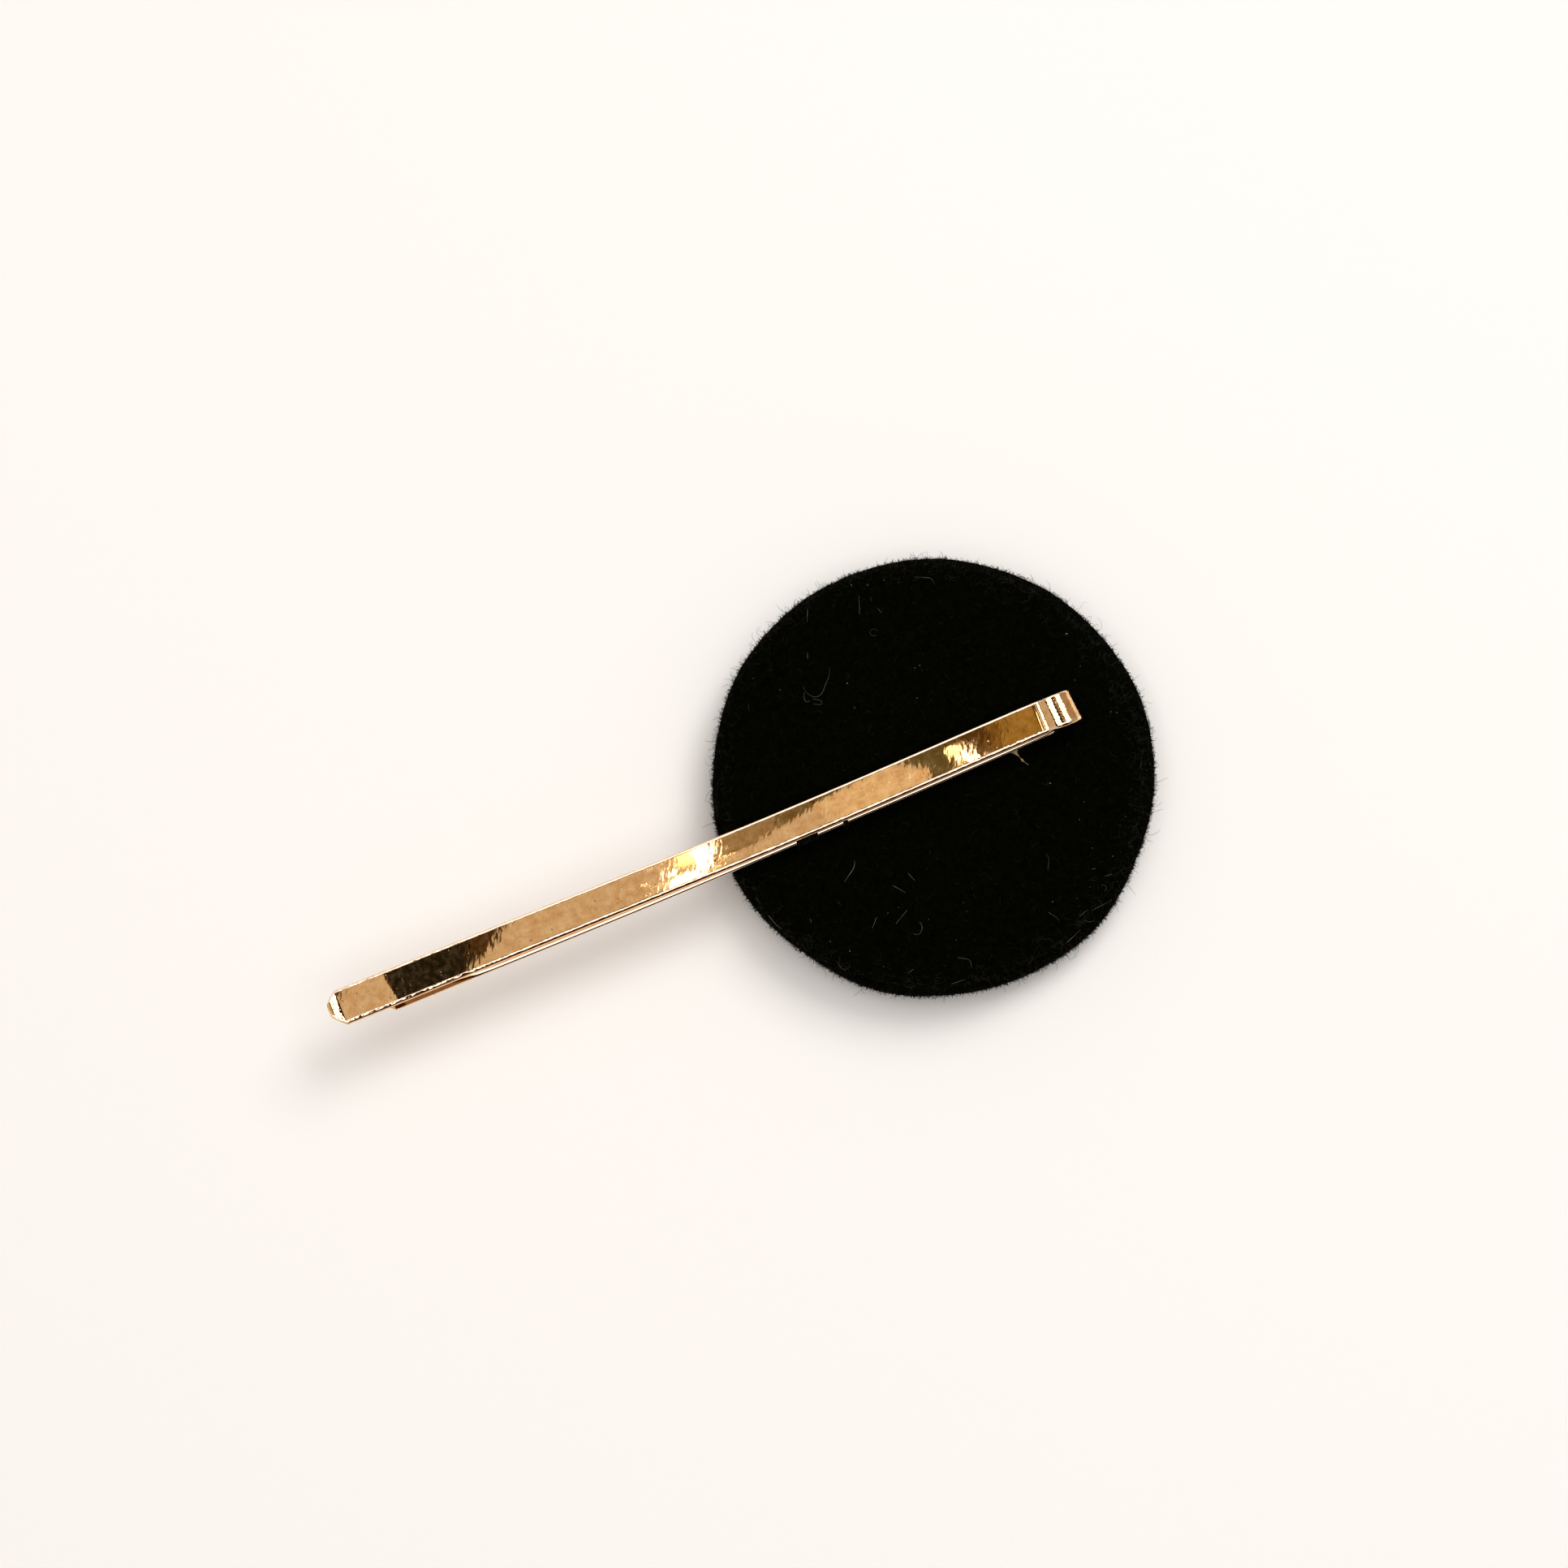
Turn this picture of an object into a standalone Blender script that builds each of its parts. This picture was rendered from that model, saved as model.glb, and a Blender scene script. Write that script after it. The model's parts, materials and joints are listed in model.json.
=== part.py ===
"""Hairpin with a round felt ornament, lying on the ornament's front face.

Metres, +Z up. The origin is the centre of the ornament's flat front face, +X runs along the
pin towards its eye, and +Z points out of the ornament's back, where the pin is fastened.
"""

import math

import bpy
from mathutils import Matrix, Vector

# Ornament: a padded card disc wrapped in felt, closed by a second felt disc
ORNAMENT_RADIUS = 0.0180
COVER_FELT = 0.0009
FRONT_RIM_ROUND = 0.0022
BACK_RIM_ROUND = 0.0014
HEM_WIDTH = 0.00515
PADDING_THICKNESS = 0.0010
CORE_THICKNESS = 0.0008
BACKING_FELT = 0.0009
BACKING_INSET = 0.00065
BACKING_SHIFT_X = -0.00035
BACKING_SHIFT_Y = 0.00030
LAYER_GAP = 0.0002

# Edges of the flat pieces inside and on the ornament
PADDING_EDGE = 0.0003
CORE_EDGE = 0.0002
GLUE_EDGE = 0.0002
BACKING_EDGE = 0.0003

# Pin: one strip of flat spring wire, bent double round an open eye
PIN_LENGTH = 0.0650
STRIP_WIDTH = 0.00285
STRIP_THICKNESS = 0.00055
STRIP_EDGE_WIDTH = 0.00042
STRIP_EDGE_DEPTH = 0.00025
FIXED_LEG_SHORTER_BY = 0.0040
EYE_INSET = 0.00545
EYE_RADIUS = 0.00122
NECK_BEND_RADIUS = 0.0009
LEG_CLEARANCE = 0.00035
FREE_LEG_BOW = 0.00022
FREE_TIP_LIFT = 0.00020
FREE_TIP_FLARE = 0.0052
NOSE_LENGTH = 0.0010
PIN_OFFSET_Y = 0.0002
LEG_STAGGER = 0.0002
STRIP_JOIN_GAP = 0.0001
PIN_SEAT_GAP = 0.00015

# Glue under the fixed leg, with the drop and the string squeezed out beside it
GLUE_FROM_THREAD = 0.0017
GLUE_LINE_WIDTH = 0.0022
GLUE_CLEARANCE = 0.00012
GLUE_BEFORE_NECK = 0.0009
DROP_BEFORE_NECK = 0.0026
DROP_LENGTH = 0.0013
DROP_WIDTH = 0.0017
STRING_LENGTH = 0.0017
STRING_BASE_RADIUS = 0.00020
STRING_END_RADIUS = 0.00008
STRING_ANGLE = math.radians(-66)

# Black sewing thread that lashes the fixed leg to the felt
THREAD_DIAMETER = 0.00032
THREAD_PITCH = 0.00076
THREAD_INSET = 0.0063
THREAD_CLEARANCE = 0.0001
THREAD_FELT_GAP = 0.0001
THREAD_TURNS = 2.5
THREAD_POINTS_PER_TURN = 24
THREAD_SQUARENESS = 0.4

# Smoothness of the round shapes
RING_STEPS = 72
RIM_STEPS = 5
EYE_STEPS = 20
NECK_STEPS = 4
EDGE_STEPS = 3
NOSE_STEPS = 4
LEG_STEPS = 12
TIP_STEPS = 4

# Share of the strip's width that is left at the very end of a leg
BLUNT_END_SHARE = 0.31
MERGE_DISTANCE = 0.000001

# Round pieces of the ornament, which follow its outline
HEM_OPENING_RADIUS = ORNAMENT_RADIUS - HEM_WIDTH
BACKING_RADIUS = ORNAMENT_RADIUS - BACKING_INSET

# Layers of the ornament, from its front face to its back
PADDING_Z = COVER_FELT + LAYER_GAP
CORE_Z = PADDING_Z + PADDING_THICKNESS + LAYER_GAP
HEM_Z = CORE_Z + CORE_THICKNESS + LAYER_GAP
COVER_HEIGHT = HEM_Z + COVER_FELT
BACKING_Z = COVER_HEIGHT + LAYER_GAP
BACK_FACE_Z = BACKING_Z + BACKING_FELT

# Places of the pin, which keeps its distance from the edge of the ornament
EYE_REACH = ORNAMENT_RADIUS - EYE_INSET
EYE_OUTER_RADIUS = EYE_RADIUS + STRIP_THICKNESS / 2
LEG_SPREAD = (STRIP_THICKNESS + LEG_CLEARANCE) / 2
EYE_X = EYE_REACH - EYE_OUTER_RADIUS
EYE_Z = BACK_FACE_Z + PIN_SEAT_GAP + EYE_OUTER_RADIUS
NECK_RUN = math.sqrt((EYE_RADIUS + NECK_BEND_RADIUS) ** 2 - (LEG_SPREAD + NECK_BEND_RADIUS) ** 2)
NECK_X = EYE_X - NECK_RUN
FREE_TIP_X = EYE_REACH - PIN_LENGTH
FIXED_TIP_X = FREE_TIP_X + FIXED_LEG_SHORTER_BY
FLARE_X = FREE_TIP_X + FREE_TIP_FLARE
FIXED_LEG_Y = PIN_OFFSET_Y - LEG_STAGGER
EYE_Y = PIN_OFFSET_Y - LEG_STAGGER / 2
FIXED_LEG_UNDERSIDE = EYE_Z - LEG_SPREAD - STRIP_THICKNESS / 2
THREAD_RUN = THREAD_PITCH * THREAD_TURNS
THREAD_START_X = BACKING_SHIFT_X - BACKING_RADIUS + THREAD_INSET - THREAD_RUN / 2
THREAD_END_X = THREAD_START_X + THREAD_RUN
GLUE_START_X = THREAD_END_X + THREAD_DIAMETER / 2 + GLUE_FROM_THREAD
GLUE_END_X = NECK_X - GLUE_BEFORE_NECK
DROP_X = NECK_X - DROP_BEFORE_NECK

GOLD = (0.62, 0.34, 0.15, 1.0)
BLACK_FELT = (0.012, 0.012, 0.011, 1.0)


def clear_scene():
    for old in list(bpy.data.objects):
        bpy.data.objects.remove(old, do_unlink=True)


def new_collection(name):
    group = bpy.data.collections.new(name)
    bpy.context.scene.collection.children.link(group)
    return group


def principled(name, colour, roughness, metallic=0.0):
    material = bpy.data.materials.new(name)
    material.use_nodes = True
    shader = material.node_tree.nodes["Principled BSDF"]
    shader.inputs["Base Color"].default_value = colour
    shader.inputs["Roughness"].default_value = roughness
    shader.inputs["Metallic"].default_value = metallic
    return material


def place(made, name, group, material=None):
    """Name an object, put it in one collection and give it its material."""
    made.name = name
    made.data.name = name
    for held_by in list(made.users_collection):
        held_by.objects.unlink(made)
    group.objects.link(made)
    if material:
        made.data.materials.append(material)
    return made


def hide_guide(guide):
    guide.hide_render = True
    guide.display_type = "WIRE"


def smooth(made):
    made.data.shade_smooth()
    made.data.set_sharp_from_angle(angle=math.radians(35))


def arc(centre_x, centre_z, radius, start, end, steps):
    """Points along an arc in the XZ plane, with both of its ends."""
    points = []
    for step in range(steps + 1):
        angle = start + (end - start) * step / steps
        points.append((centre_x + radius * math.cos(angle), centre_z + radius * math.sin(angle)))
    return points


def turned_shell(name, profile, thickness, material):
    """Turn an open profile about Z, top to bottom along its outer side, and thicken it inwards."""
    mesh = bpy.data.meshes.new(name)
    vertices = [(x, 0.0, z) for x, z in profile]
    edges = [(i, i + 1) for i in range(len(profile) - 1)]
    mesh.from_pydata(vertices, edges, [])
    made = bpy.data.objects.new(name, mesh)
    place(made, name, PIECES, material)
    screw = made.modifiers.new("turn", "SCREW")
    screw.steps = RING_STEPS
    screw.render_steps = RING_STEPS
    screw.use_merge_vertices = True
    screw.merge_threshold = MERGE_DISTANCE
    shell = made.modifiers.new("felt", "SOLIDIFY")
    shell.thickness = thickness
    shell.offset = -1.0
    return made


def flat_disc(name, radius, bottom, thickness, edge, material, centre=(0.0, 0.0)):
    """A flat round layer with softened edges."""
    middle = bottom + thickness / 2
    bpy.ops.mesh.primitive_cylinder_add(
        vertices=RING_STEPS, radius=radius, depth=thickness, location=(centre[0], centre[1], middle)
    )
    made = place(bpy.context.object, name, PIECES, material)
    soften(made, edge)
    smooth(made)
    return made


def soften(made, width):
    bevel = made.modifiers.new("soft edge", "BEVEL")
    bevel.width = width
    bevel.segments = EDGE_STEPS
    bevel.limit_method = "ANGLE"
    bevel.angle_limit = math.radians(40)


def cover_profile():
    """Outer side of the wrapped felt, from its hem on the back, round the rim, to the front's centre."""
    back = arc(
        ORNAMENT_RADIUS - BACK_RIM_ROUND,
        COVER_HEIGHT - BACK_RIM_ROUND,
        BACK_RIM_ROUND,
        math.pi / 2,
        0.0,
        RIM_STEPS,
    )
    front = arc(
        ORNAMENT_RADIUS - FRONT_RIM_ROUND,
        FRONT_RIM_ROUND,
        FRONT_RIM_ROUND,
        0.0,
        -math.pi / 2,
        RIM_STEPS,
    )
    return [(HEM_OPENING_RADIUS, COVER_HEIGHT)] + back + front + [(0.0, 0.0)]


def make_ornament():
    felt = principled("cover_felt", BLACK_FELT, 0.95)
    turned_shell("cover_felt", cover_profile(), COVER_FELT, felt)
    flat_disc(
        "padding",
        ORNAMENT_RADIUS - FRONT_RIM_ROUND,
        PADDING_Z,
        PADDING_THICKNESS,
        PADDING_EDGE,
        principled("padding", (0.72, 0.70, 0.66, 1.0), 0.95),
    )
    flat_disc(
        "core_disc",
        ORNAMENT_RADIUS - COVER_FELT - LAYER_GAP,
        CORE_Z,
        CORE_THICKNESS,
        CORE_EDGE,
        principled("core_disc", (0.36, 0.31, 0.25, 1.0), 0.85),
    )
    flat_disc(
        "back_glue",
        HEM_OPENING_RADIUS - LAYER_GAP,
        HEM_Z,
        COVER_FELT,
        GLUE_EDGE,
        principled("back_glue", (0.80, 0.72, 0.55, 1.0), 0.30),
    )
    flat_disc(
        "backing_felt",
        BACKING_RADIUS,
        BACKING_Z,
        BACKING_FELT,
        BACKING_EDGE,
        principled("backing_felt", BLACK_FELT, 0.95),
        (BACKING_SHIFT_X, BACKING_SHIFT_Y),
    )


def strip_section():
    """Cross-section of the flat wire: thickness along X and width along Y, with round edges."""
    reach_x = STRIP_THICKNESS / 2 - STRIP_EDGE_DEPTH
    reach_y = STRIP_WIDTH / 2 - STRIP_EDGE_WIDTH
    points = []
    for corner, (side_x, side_y) in enumerate([(1, 1), (-1, 1), (-1, -1), (1, -1)]):
        start = corner * math.pi / 2
        for x, y in arc(0.0, 0.0, 1.0, start, start + math.pi / 2, EDGE_STEPS):
            points.append(
                (side_x * reach_x + STRIP_EDGE_DEPTH * x, side_y * reach_y + STRIP_EDGE_WIDTH * y)
            )
    curve = bpy.data.curves.new("strip_section", "CURVE")
    curve.dimensions = "2D"
    curve.fill_mode = "NONE"
    outline = curve.splines.new("POLY")
    outline.points.add(len(points) - 1)
    for point, (x, y) in zip(outline.points, reversed(points)):
        point.co = (x, y, 0.0, 1.0)
    outline.use_cyclic_u = True
    section = place(bpy.data.objects.new("strip_section", curve), "strip_section", GUIDES)
    hide_guide(section)
    return section


def nose_share(distance):
    """Share of the strip's full section at a distance from a leg's end."""
    if distance >= NOSE_LENGTH:
        return 1.0
    rounding = math.sqrt(1.0 - (1.0 - distance / NOSE_LENGTH) ** 2)
    return BLUNT_END_SHARE + (1.0 - BLUNT_END_SHARE) * rounding


def strip(name, path, pivot, y, section, material):
    """Sweep the flat wire along a path of (x, z, share of the full section)."""
    curve = bpy.data.curves.new(name, "CURVE")
    curve.dimensions = "2D"
    curve.fill_mode = "NONE"
    curve.bevel_mode = "OBJECT"
    curve.bevel_object = section
    curve.use_fill_caps = True
    line = curve.splines.new("POLY")
    line.points.add(len(path) - 1)
    for point, (x, z, share) in zip(line.points, path):
        point.co = (x - pivot[0], z - pivot[1], 0.0, 1.0)
        point.radius = share
    line.use_smooth = True
    made = place(bpy.data.objects.new(name, curve), name, PIECES, material)
    made.rotation_euler = (math.pi / 2, 0.0, 0.0)
    made.location = (pivot[0], y, pivot[1])
    return made


def nose_stations(tip_x):
    """Places along a leg's rounded end, from the end to the full width."""
    stations = []
    for step in range(NOSE_STEPS):
        angle = step / NOSE_STEPS * math.pi / 2
        stations.append(tip_x + NOSE_LENGTH * (1.0 - math.cos(angle)))
    return stations


def evenly(start, end, steps):
    return [start + (end - start) * step / steps for step in range(steps + 1)]


def free_leg_z(x):
    """Centre line of the free leg: bowed away from the fixed leg, with a straight flared tip."""
    root = EYE_Z + LEG_SPREAD
    along = (NECK_X - x) / (NECK_X - FIXED_TIP_X)
    bowed = root + FREE_LEG_BOW * math.sin(math.pi * min(along, 1.0))
    return bowed + FREE_TIP_LIFT * max(0.0, (FLARE_X - x) / FREE_TIP_FLARE)


def eye_path():
    """Out of the neck, round the eye and back, as three arcs that meet without a corner."""
    flare = math.atan2(LEG_SPREAD + NECK_BEND_RADIUS, NECK_RUN)
    below = arc(
        NECK_X,
        EYE_Z - LEG_SPREAD - NECK_BEND_RADIUS,
        NECK_BEND_RADIUS,
        math.pi / 2,
        flare,
        NECK_STEPS,
    )
    loop = arc(EYE_X, EYE_Z, EYE_RADIUS, flare - math.pi, math.pi - flare, EYE_STEPS)
    above = arc(
        NECK_X,
        EYE_Z + LEG_SPREAD + NECK_BEND_RADIUS,
        NECK_BEND_RADIUS,
        -flare,
        -math.pi / 2,
        NECK_STEPS,
    )
    return [(x, z, 1.0) for x, z in below[:-1] + loop + above[1:]]


def make_pin():
    gold = principled("fixed_leg", GOLD, 0.16, 1.0)
    section = strip_section()
    hinge = (EYE_X, EYE_Z)
    root_x = NECK_X - STRIP_JOIN_GAP
    straight = evenly(FIXED_TIP_X + NOSE_LENGTH, root_x, LEG_STEPS)
    fixed_z = EYE_Z - LEG_SPREAD
    fixed = [(x, fixed_z, nose_share(x - FIXED_TIP_X)) for x in nose_stations(FIXED_TIP_X) + straight]
    strip("fixed_leg", fixed, (FIXED_TIP_X, fixed_z), FIXED_LEG_Y, section, gold)

    lifted = evenly(FREE_TIP_X + NOSE_LENGTH, FLARE_X, TIP_STEPS)
    bowed = evenly(FLARE_X, root_x, LEG_STEPS)[1:]
    free = [
        (x, free_leg_z(x), nose_share(x - FREE_TIP_X)) for x in nose_stations(FREE_TIP_X) + lifted + bowed
    ]
    strip("free_leg", free, hinge, PIN_OFFSET_Y, section, principled("free_leg", GOLD, 0.16, 1.0))
    strip("spring_eye", eye_path(), hinge, EYE_Y, section, principled("spring_eye", GOLD, 0.16, 1.0))


def join(made, other):
    union = made.modifiers.new("join " + other.name, "BOOLEAN")
    union.operation = "UNION"
    union.object = other


def make_glue_bead():
    bottom = BACK_FACE_Z + GLUE_CLEARANCE
    height = FIXED_LEG_UNDERSIDE - GLUE_CLEARANCE - bottom
    middle = bottom + height / 2
    glue = principled("glue_bead", (0.62, 0.46, 0.26, 1.0), 0.15)
    bpy.ops.mesh.primitive_cube_add(
        size=1.0, location=((GLUE_START_X + GLUE_END_X) / 2, FIXED_LEG_Y, middle)
    )
    bead = place(bpy.context.object, "glue_bead", PIECES, glue)
    bead.data.transform(Matrix.Diagonal((GLUE_END_X - GLUE_START_X, GLUE_LINE_WIDTH, height, 1.0)))
    soften(bead, height / 3)

    edge_y = FIXED_LEG_Y - STRIP_WIDTH / 2
    bpy.ops.mesh.primitive_uv_sphere_add(segments=24, ring_count=12, radius=0.5)
    drop = place(bpy.context.object, "glue_drop", GUIDES)
    drop.data.transform(Matrix.Diagonal((DROP_LENGTH, DROP_WIDTH, height, 1.0)))
    drop.location = (DROP_X, edge_y, middle)

    way = Vector((math.cos(STRING_ANGLE), math.sin(STRING_ANGLE), 0.0))
    bpy.ops.mesh.primitive_cone_add(
        vertices=12, radius1=STRING_BASE_RADIUS, radius2=STRING_END_RADIUS, depth=STRING_LENGTH
    )
    string = place(bpy.context.object, "glue_string", GUIDES)
    string.rotation_mode = "QUATERNION"
    string.rotation_quaternion = way.to_track_quat("Z", "Y")
    reach = DROP_WIDTH / 4 + STRING_LENGTH / 2
    string.location = Vector((DROP_X, edge_y, middle)) + way * reach
    for guide in (drop, string):
        hide_guide(guide)
        join(bead, guide)


def thread_half_sizes():
    """Half width and half height of the thread's loops, on the thread's centre line."""
    stand_off = THREAD_CLEARANCE + THREAD_DIAMETER / 2
    return STRIP_WIDTH / 2 + stand_off, STRIP_THICKNESS / 2 + stand_off


def signed_power(value, power):
    return math.copysign(abs(value) ** power, value)


def thread_points():
    """Down one side, round the leg in squared loops at a steady pitch, and down the other side."""
    half_width, half_height = thread_half_sizes()
    centre_z = EYE_Z - LEG_SPREAD
    foot_z = BACK_FACE_Z + THREAD_FELT_GAP
    steps = int(THREAD_TURNS * THREAD_POINTS_PER_TURN)
    loops = []
    for step in range(steps + 1):
        angle = math.pi * (1.0 - 2.0 * THREAD_TURNS * step / steps)
        across = half_width * signed_power(math.cos(angle), THREAD_SQUARENESS)
        up = half_height * signed_power(math.sin(angle), THREAD_SQUARENESS)
        x = THREAD_START_X + THREAD_RUN * step / steps
        loops.append(Vector((x, FIXED_LEG_Y + across, centre_z + up)))
    first = Vector((loops[0].x, loops[0].y, foot_z))
    last = Vector((loops[-1].x, loops[-1].y, foot_z))
    return [first] + loops + [last]


def least_gap(points, diameter, apart):
    """Least clear distance between stretches of a thread that lie further apart along it."""
    least = math.inf
    for i, here in enumerate(points):
        for there in points[i + apart :]:
            least = min(least, (there - here).length - diameter)
    return least


def make_thread():
    points = thread_points()
    curve = bpy.data.curves.new("thread_wrap", "CURVE")
    curve.dimensions = "3D"
    curve.bevel_depth = THREAD_DIAMETER / 2
    curve.bevel_resolution = 1
    curve.use_fill_caps = True
    line = curve.splines.new("POLY")
    line.points.add(len(points) - 1)
    for point, place_at in zip(line.points, points):
        point.co = (*place_at, 1.0)
    thread = bpy.data.objects.new("thread_wrap", curve)
    place(thread, "thread_wrap", PIECES, principled("thread_wrap", (0.010, 0.010, 0.011, 1.0), 0.8))
    gap = least_gap(points[1:-1], THREAD_DIAMETER, THREAD_POINTS_PER_TURN // 2)
    print(f"thread_wrap: least gap between its loops {gap * 1000:.3f} mm")


clear_scene()
PIECES = new_collection("hairpin")
GUIDES = new_collection("guides")
make_ornament()
make_pin()
make_glue_bead()
make_thread()
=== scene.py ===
"""Looks of a gold hairpin with a round black felt ornament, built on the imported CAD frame.

Metres. The origin is the centre of the ornament's flat front face, which lies on the table, +X
runs along the pin towards its eye, and +Z points out of the ornament's back.
"""

import json
import math
import random

import bmesh
import bpy
import numpy as np
from mathutils import Matrix, Vector, noise


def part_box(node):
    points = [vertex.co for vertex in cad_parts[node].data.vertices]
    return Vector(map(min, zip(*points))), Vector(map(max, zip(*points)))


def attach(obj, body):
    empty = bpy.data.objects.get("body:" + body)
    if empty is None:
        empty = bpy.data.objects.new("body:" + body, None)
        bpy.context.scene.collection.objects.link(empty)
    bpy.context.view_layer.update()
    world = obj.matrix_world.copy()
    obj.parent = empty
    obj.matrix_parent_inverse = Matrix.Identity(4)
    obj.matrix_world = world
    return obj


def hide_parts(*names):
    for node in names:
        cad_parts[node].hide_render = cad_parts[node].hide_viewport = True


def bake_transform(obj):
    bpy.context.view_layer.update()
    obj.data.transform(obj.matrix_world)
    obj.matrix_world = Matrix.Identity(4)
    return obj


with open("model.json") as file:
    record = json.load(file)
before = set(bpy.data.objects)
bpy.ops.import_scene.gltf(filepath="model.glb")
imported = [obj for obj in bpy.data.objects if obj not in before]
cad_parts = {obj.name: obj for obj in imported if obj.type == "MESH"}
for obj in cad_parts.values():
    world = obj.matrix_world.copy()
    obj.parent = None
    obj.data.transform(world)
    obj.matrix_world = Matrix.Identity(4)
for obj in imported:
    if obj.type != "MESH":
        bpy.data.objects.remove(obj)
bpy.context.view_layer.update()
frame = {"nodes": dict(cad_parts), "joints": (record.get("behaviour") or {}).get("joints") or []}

MM = 0.001
MICRON = 0.000001
UP = Vector((0.0, 0.0, 1.0))
SEED = 41

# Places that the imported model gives
EYE_X, PIN_Y, EYE_Z = frame["joints"][0]["pos_m"]
FIXED_LOW, FIXED_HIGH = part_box("fixed_leg")
FREE_LOW, FREE_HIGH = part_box("free_leg")
COVER_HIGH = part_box("cover_felt")[1]
BACKING_LOW, BACKING_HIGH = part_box("backing_felt")
PADDING_LOW, PADDING_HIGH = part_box("padding")
EYE_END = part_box("spring_eye")[1].x
GLUE_LOW, GLUE_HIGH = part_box("glue_bead")

# The flat spring strip
STRIP_THICKNESS = FIXED_HIGH.z - FIXED_LOW.z
STRIP_WIDTH = FREE_HIGH.y - FREE_LOW.y
TIP_WIDTH = 2.96 * MM
FIXED_Z = (FIXED_LOW.z + FIXED_HIGH.z) / 2
LEG_SPREAD = EYE_Z - FIXED_Z
# The real loop reaches a little further than its plain solid.
EYE_MIDDLE = EYE_X + 0.045 * MM
EYE_RADIUS = EYE_END + 0.08 * MM - EYE_MIDDLE - STRIP_THICKNESS / 2
NECK_BEND = 0.9 * MM
NECK_RUN = math.sqrt((EYE_RADIUS + NECK_BEND) ** 2 - (LEG_SPREAD + NECK_BEND) ** 2) + 0.04 * MM
NECK_X = EYE_MIDDLE - NECK_RUN
EDGE_WIDTH = 0.34 * MM
EDGE_DEPTH = 0.25 * MM
# The fixed leg's edges are rolled flatter, and filed flat from its tip to FILED_X.
FIXED_EDGE_DEPTH = 0.12 * MM
FILED_X = -40.6 * MM
# The edge on the +Y side is rolled narrower.
UPPER_EDGE_SHARE = 0.65
# The strip is rolled a little wider towards the free tip.
WIDENING_X = -20 * MM
WIDENING_RUN = 32 * MM
LEG_BOW = 0.22 * MM
FLARE_X = FREE_LOW.x + 5.4 * MM
FLARE_SLOPE = 0.038
NOSE_LENGTH = 1.02 * MM
NOSE_END_SHARE = 0.33
NOSE_SHIFT = 0.12 * MM
NOSE_SLOPE = 0.10 * MM
NOSE_ROUNDING = 0.12 * MM
NOSE_SINKING = 0.18 * MM
NOSE_LEAST = 0.004 * MM
CROWN = 0.004 * MM
# The eye is dished and twisted, and each half of it sways to its own side.
SADDLE = 0.03 * MM
EYE_TWIST = 0.07
LOWER_SWAY = 0.24 * MM
UPPER_SWAY = -0.11 * MM

# The strip isn't quite straight: sideways place of each leg's middle, in mm, at places along it
FREE_PLACES = (-52.4, -44, -33, -24, -12, -4, 3, 9)
FREE_CURVE = np.polyfit(FREE_PLACES, (0.17, 0.14, 0.06, 0.02, 0.03, 0.15, 0.31, 0.41), 5)
FIXED_PLACES = (-48.5, -40, -32, -24, -16, -8, 0, 9)
FIXED_CURVE = np.polyfit(FIXED_PLACES, (-0.18, -0.18, -0.21, -0.2, -0.13, 0.0, 0.12, 0.35), 5)

# The felt ornament
COVER_RADIUS = COVER_HIGH.x
COVER_TOP = COVER_HIGH.z
FELT = 0.9 * MM
BACK_ROUND = 1.4 * MM
FRONT_ROUND = 2.2 * MM
HEM_OPENING = COVER_RADIUS - 5.15 * MM
BACKING_RADIUS = (BACKING_HIGH.x - BACKING_LOW.x) / 2
BACKING_CENTRE = Vector((-0.50, -0.06, 0.0)) * MM
BACK_FACE = BACKING_HIGH.z
THREAD_RADIUS = 0.15 * MM
# The hem's shallow tucks: how many, and how deep on the hem and over the rim
TUCKS = 31
HEM_TUCK = 0.05 * MM
RIM_TUCK = 0.06 * MM

# How far the hand-cut outline departs from a circle: waves round it, their height and place
OUTLINE_WAVES = ((2, 0.037, 13), (4, 0.039, 15), (6, 0.073, -23), (7, 0.054, -156), (11, 0.035, 20))


def linear(code):
    """An sRGB hex colour as linear RGBA."""
    channels = [int(code[i : i + 2], 16) / 255 for i in (0, 2, 4)]
    return (*(c / 12.92 if c <= 0.04045 else ((c + 0.055) / 1.055) ** 2.4 for c in channels), 1.0)


def set_inputs(node, inputs):
    """Give inputs their values, or link them to a socket or to another node's first output."""
    for key, value in inputs.items():
        if isinstance(value, bpy.types.Node):
            value = next(socket for socket in value.outputs if socket.enabled)
        if isinstance(value, bpy.types.NodeSocket):
            node.id_data.links.new(value, node.inputs[key])
        else:
            node.inputs[key].default_value = value


def add_node(tree, kind, inputs=None, steps=(), **settings):
    """Add a shader node: steps are a ramp's places and hex colours, settings its own properties."""
    node = tree.nodes.new("ShaderNode" + kind)
    for key, value in settings.items():
        setattr(node, key, value)
    for i, (place, code) in enumerate(steps):
        node.color_ramp.elements[i].position = place
        node.color_ramp.elements[i].color = linear(code)
    set_inputs(node, inputs or {})
    return node


def start_material(name, uv_map=None):
    """A material, its tree and shader, and the place that its patterns are drawn by."""
    made = bpy.data.materials.new(name)
    made.use_nodes = True
    tree = made.node_tree
    if uv_map:
        place = add_node(tree, "UVMap", uv_map=uv_map)
    else:
        place = add_node(tree, "TexCoord").outputs["Object"]
    return made, tree, tree.nodes["Principled BSDF"], place


# Stretches of the strip, in mm from the free tip: the middle and half the length of each
EYE_STRETCH = (64.4, 2.4)
# The stretch of the fixed leg whose whole edge gets the painted highlight
HIGHLIT_LEG_STRETCH = (94.0, 26.0)


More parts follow.
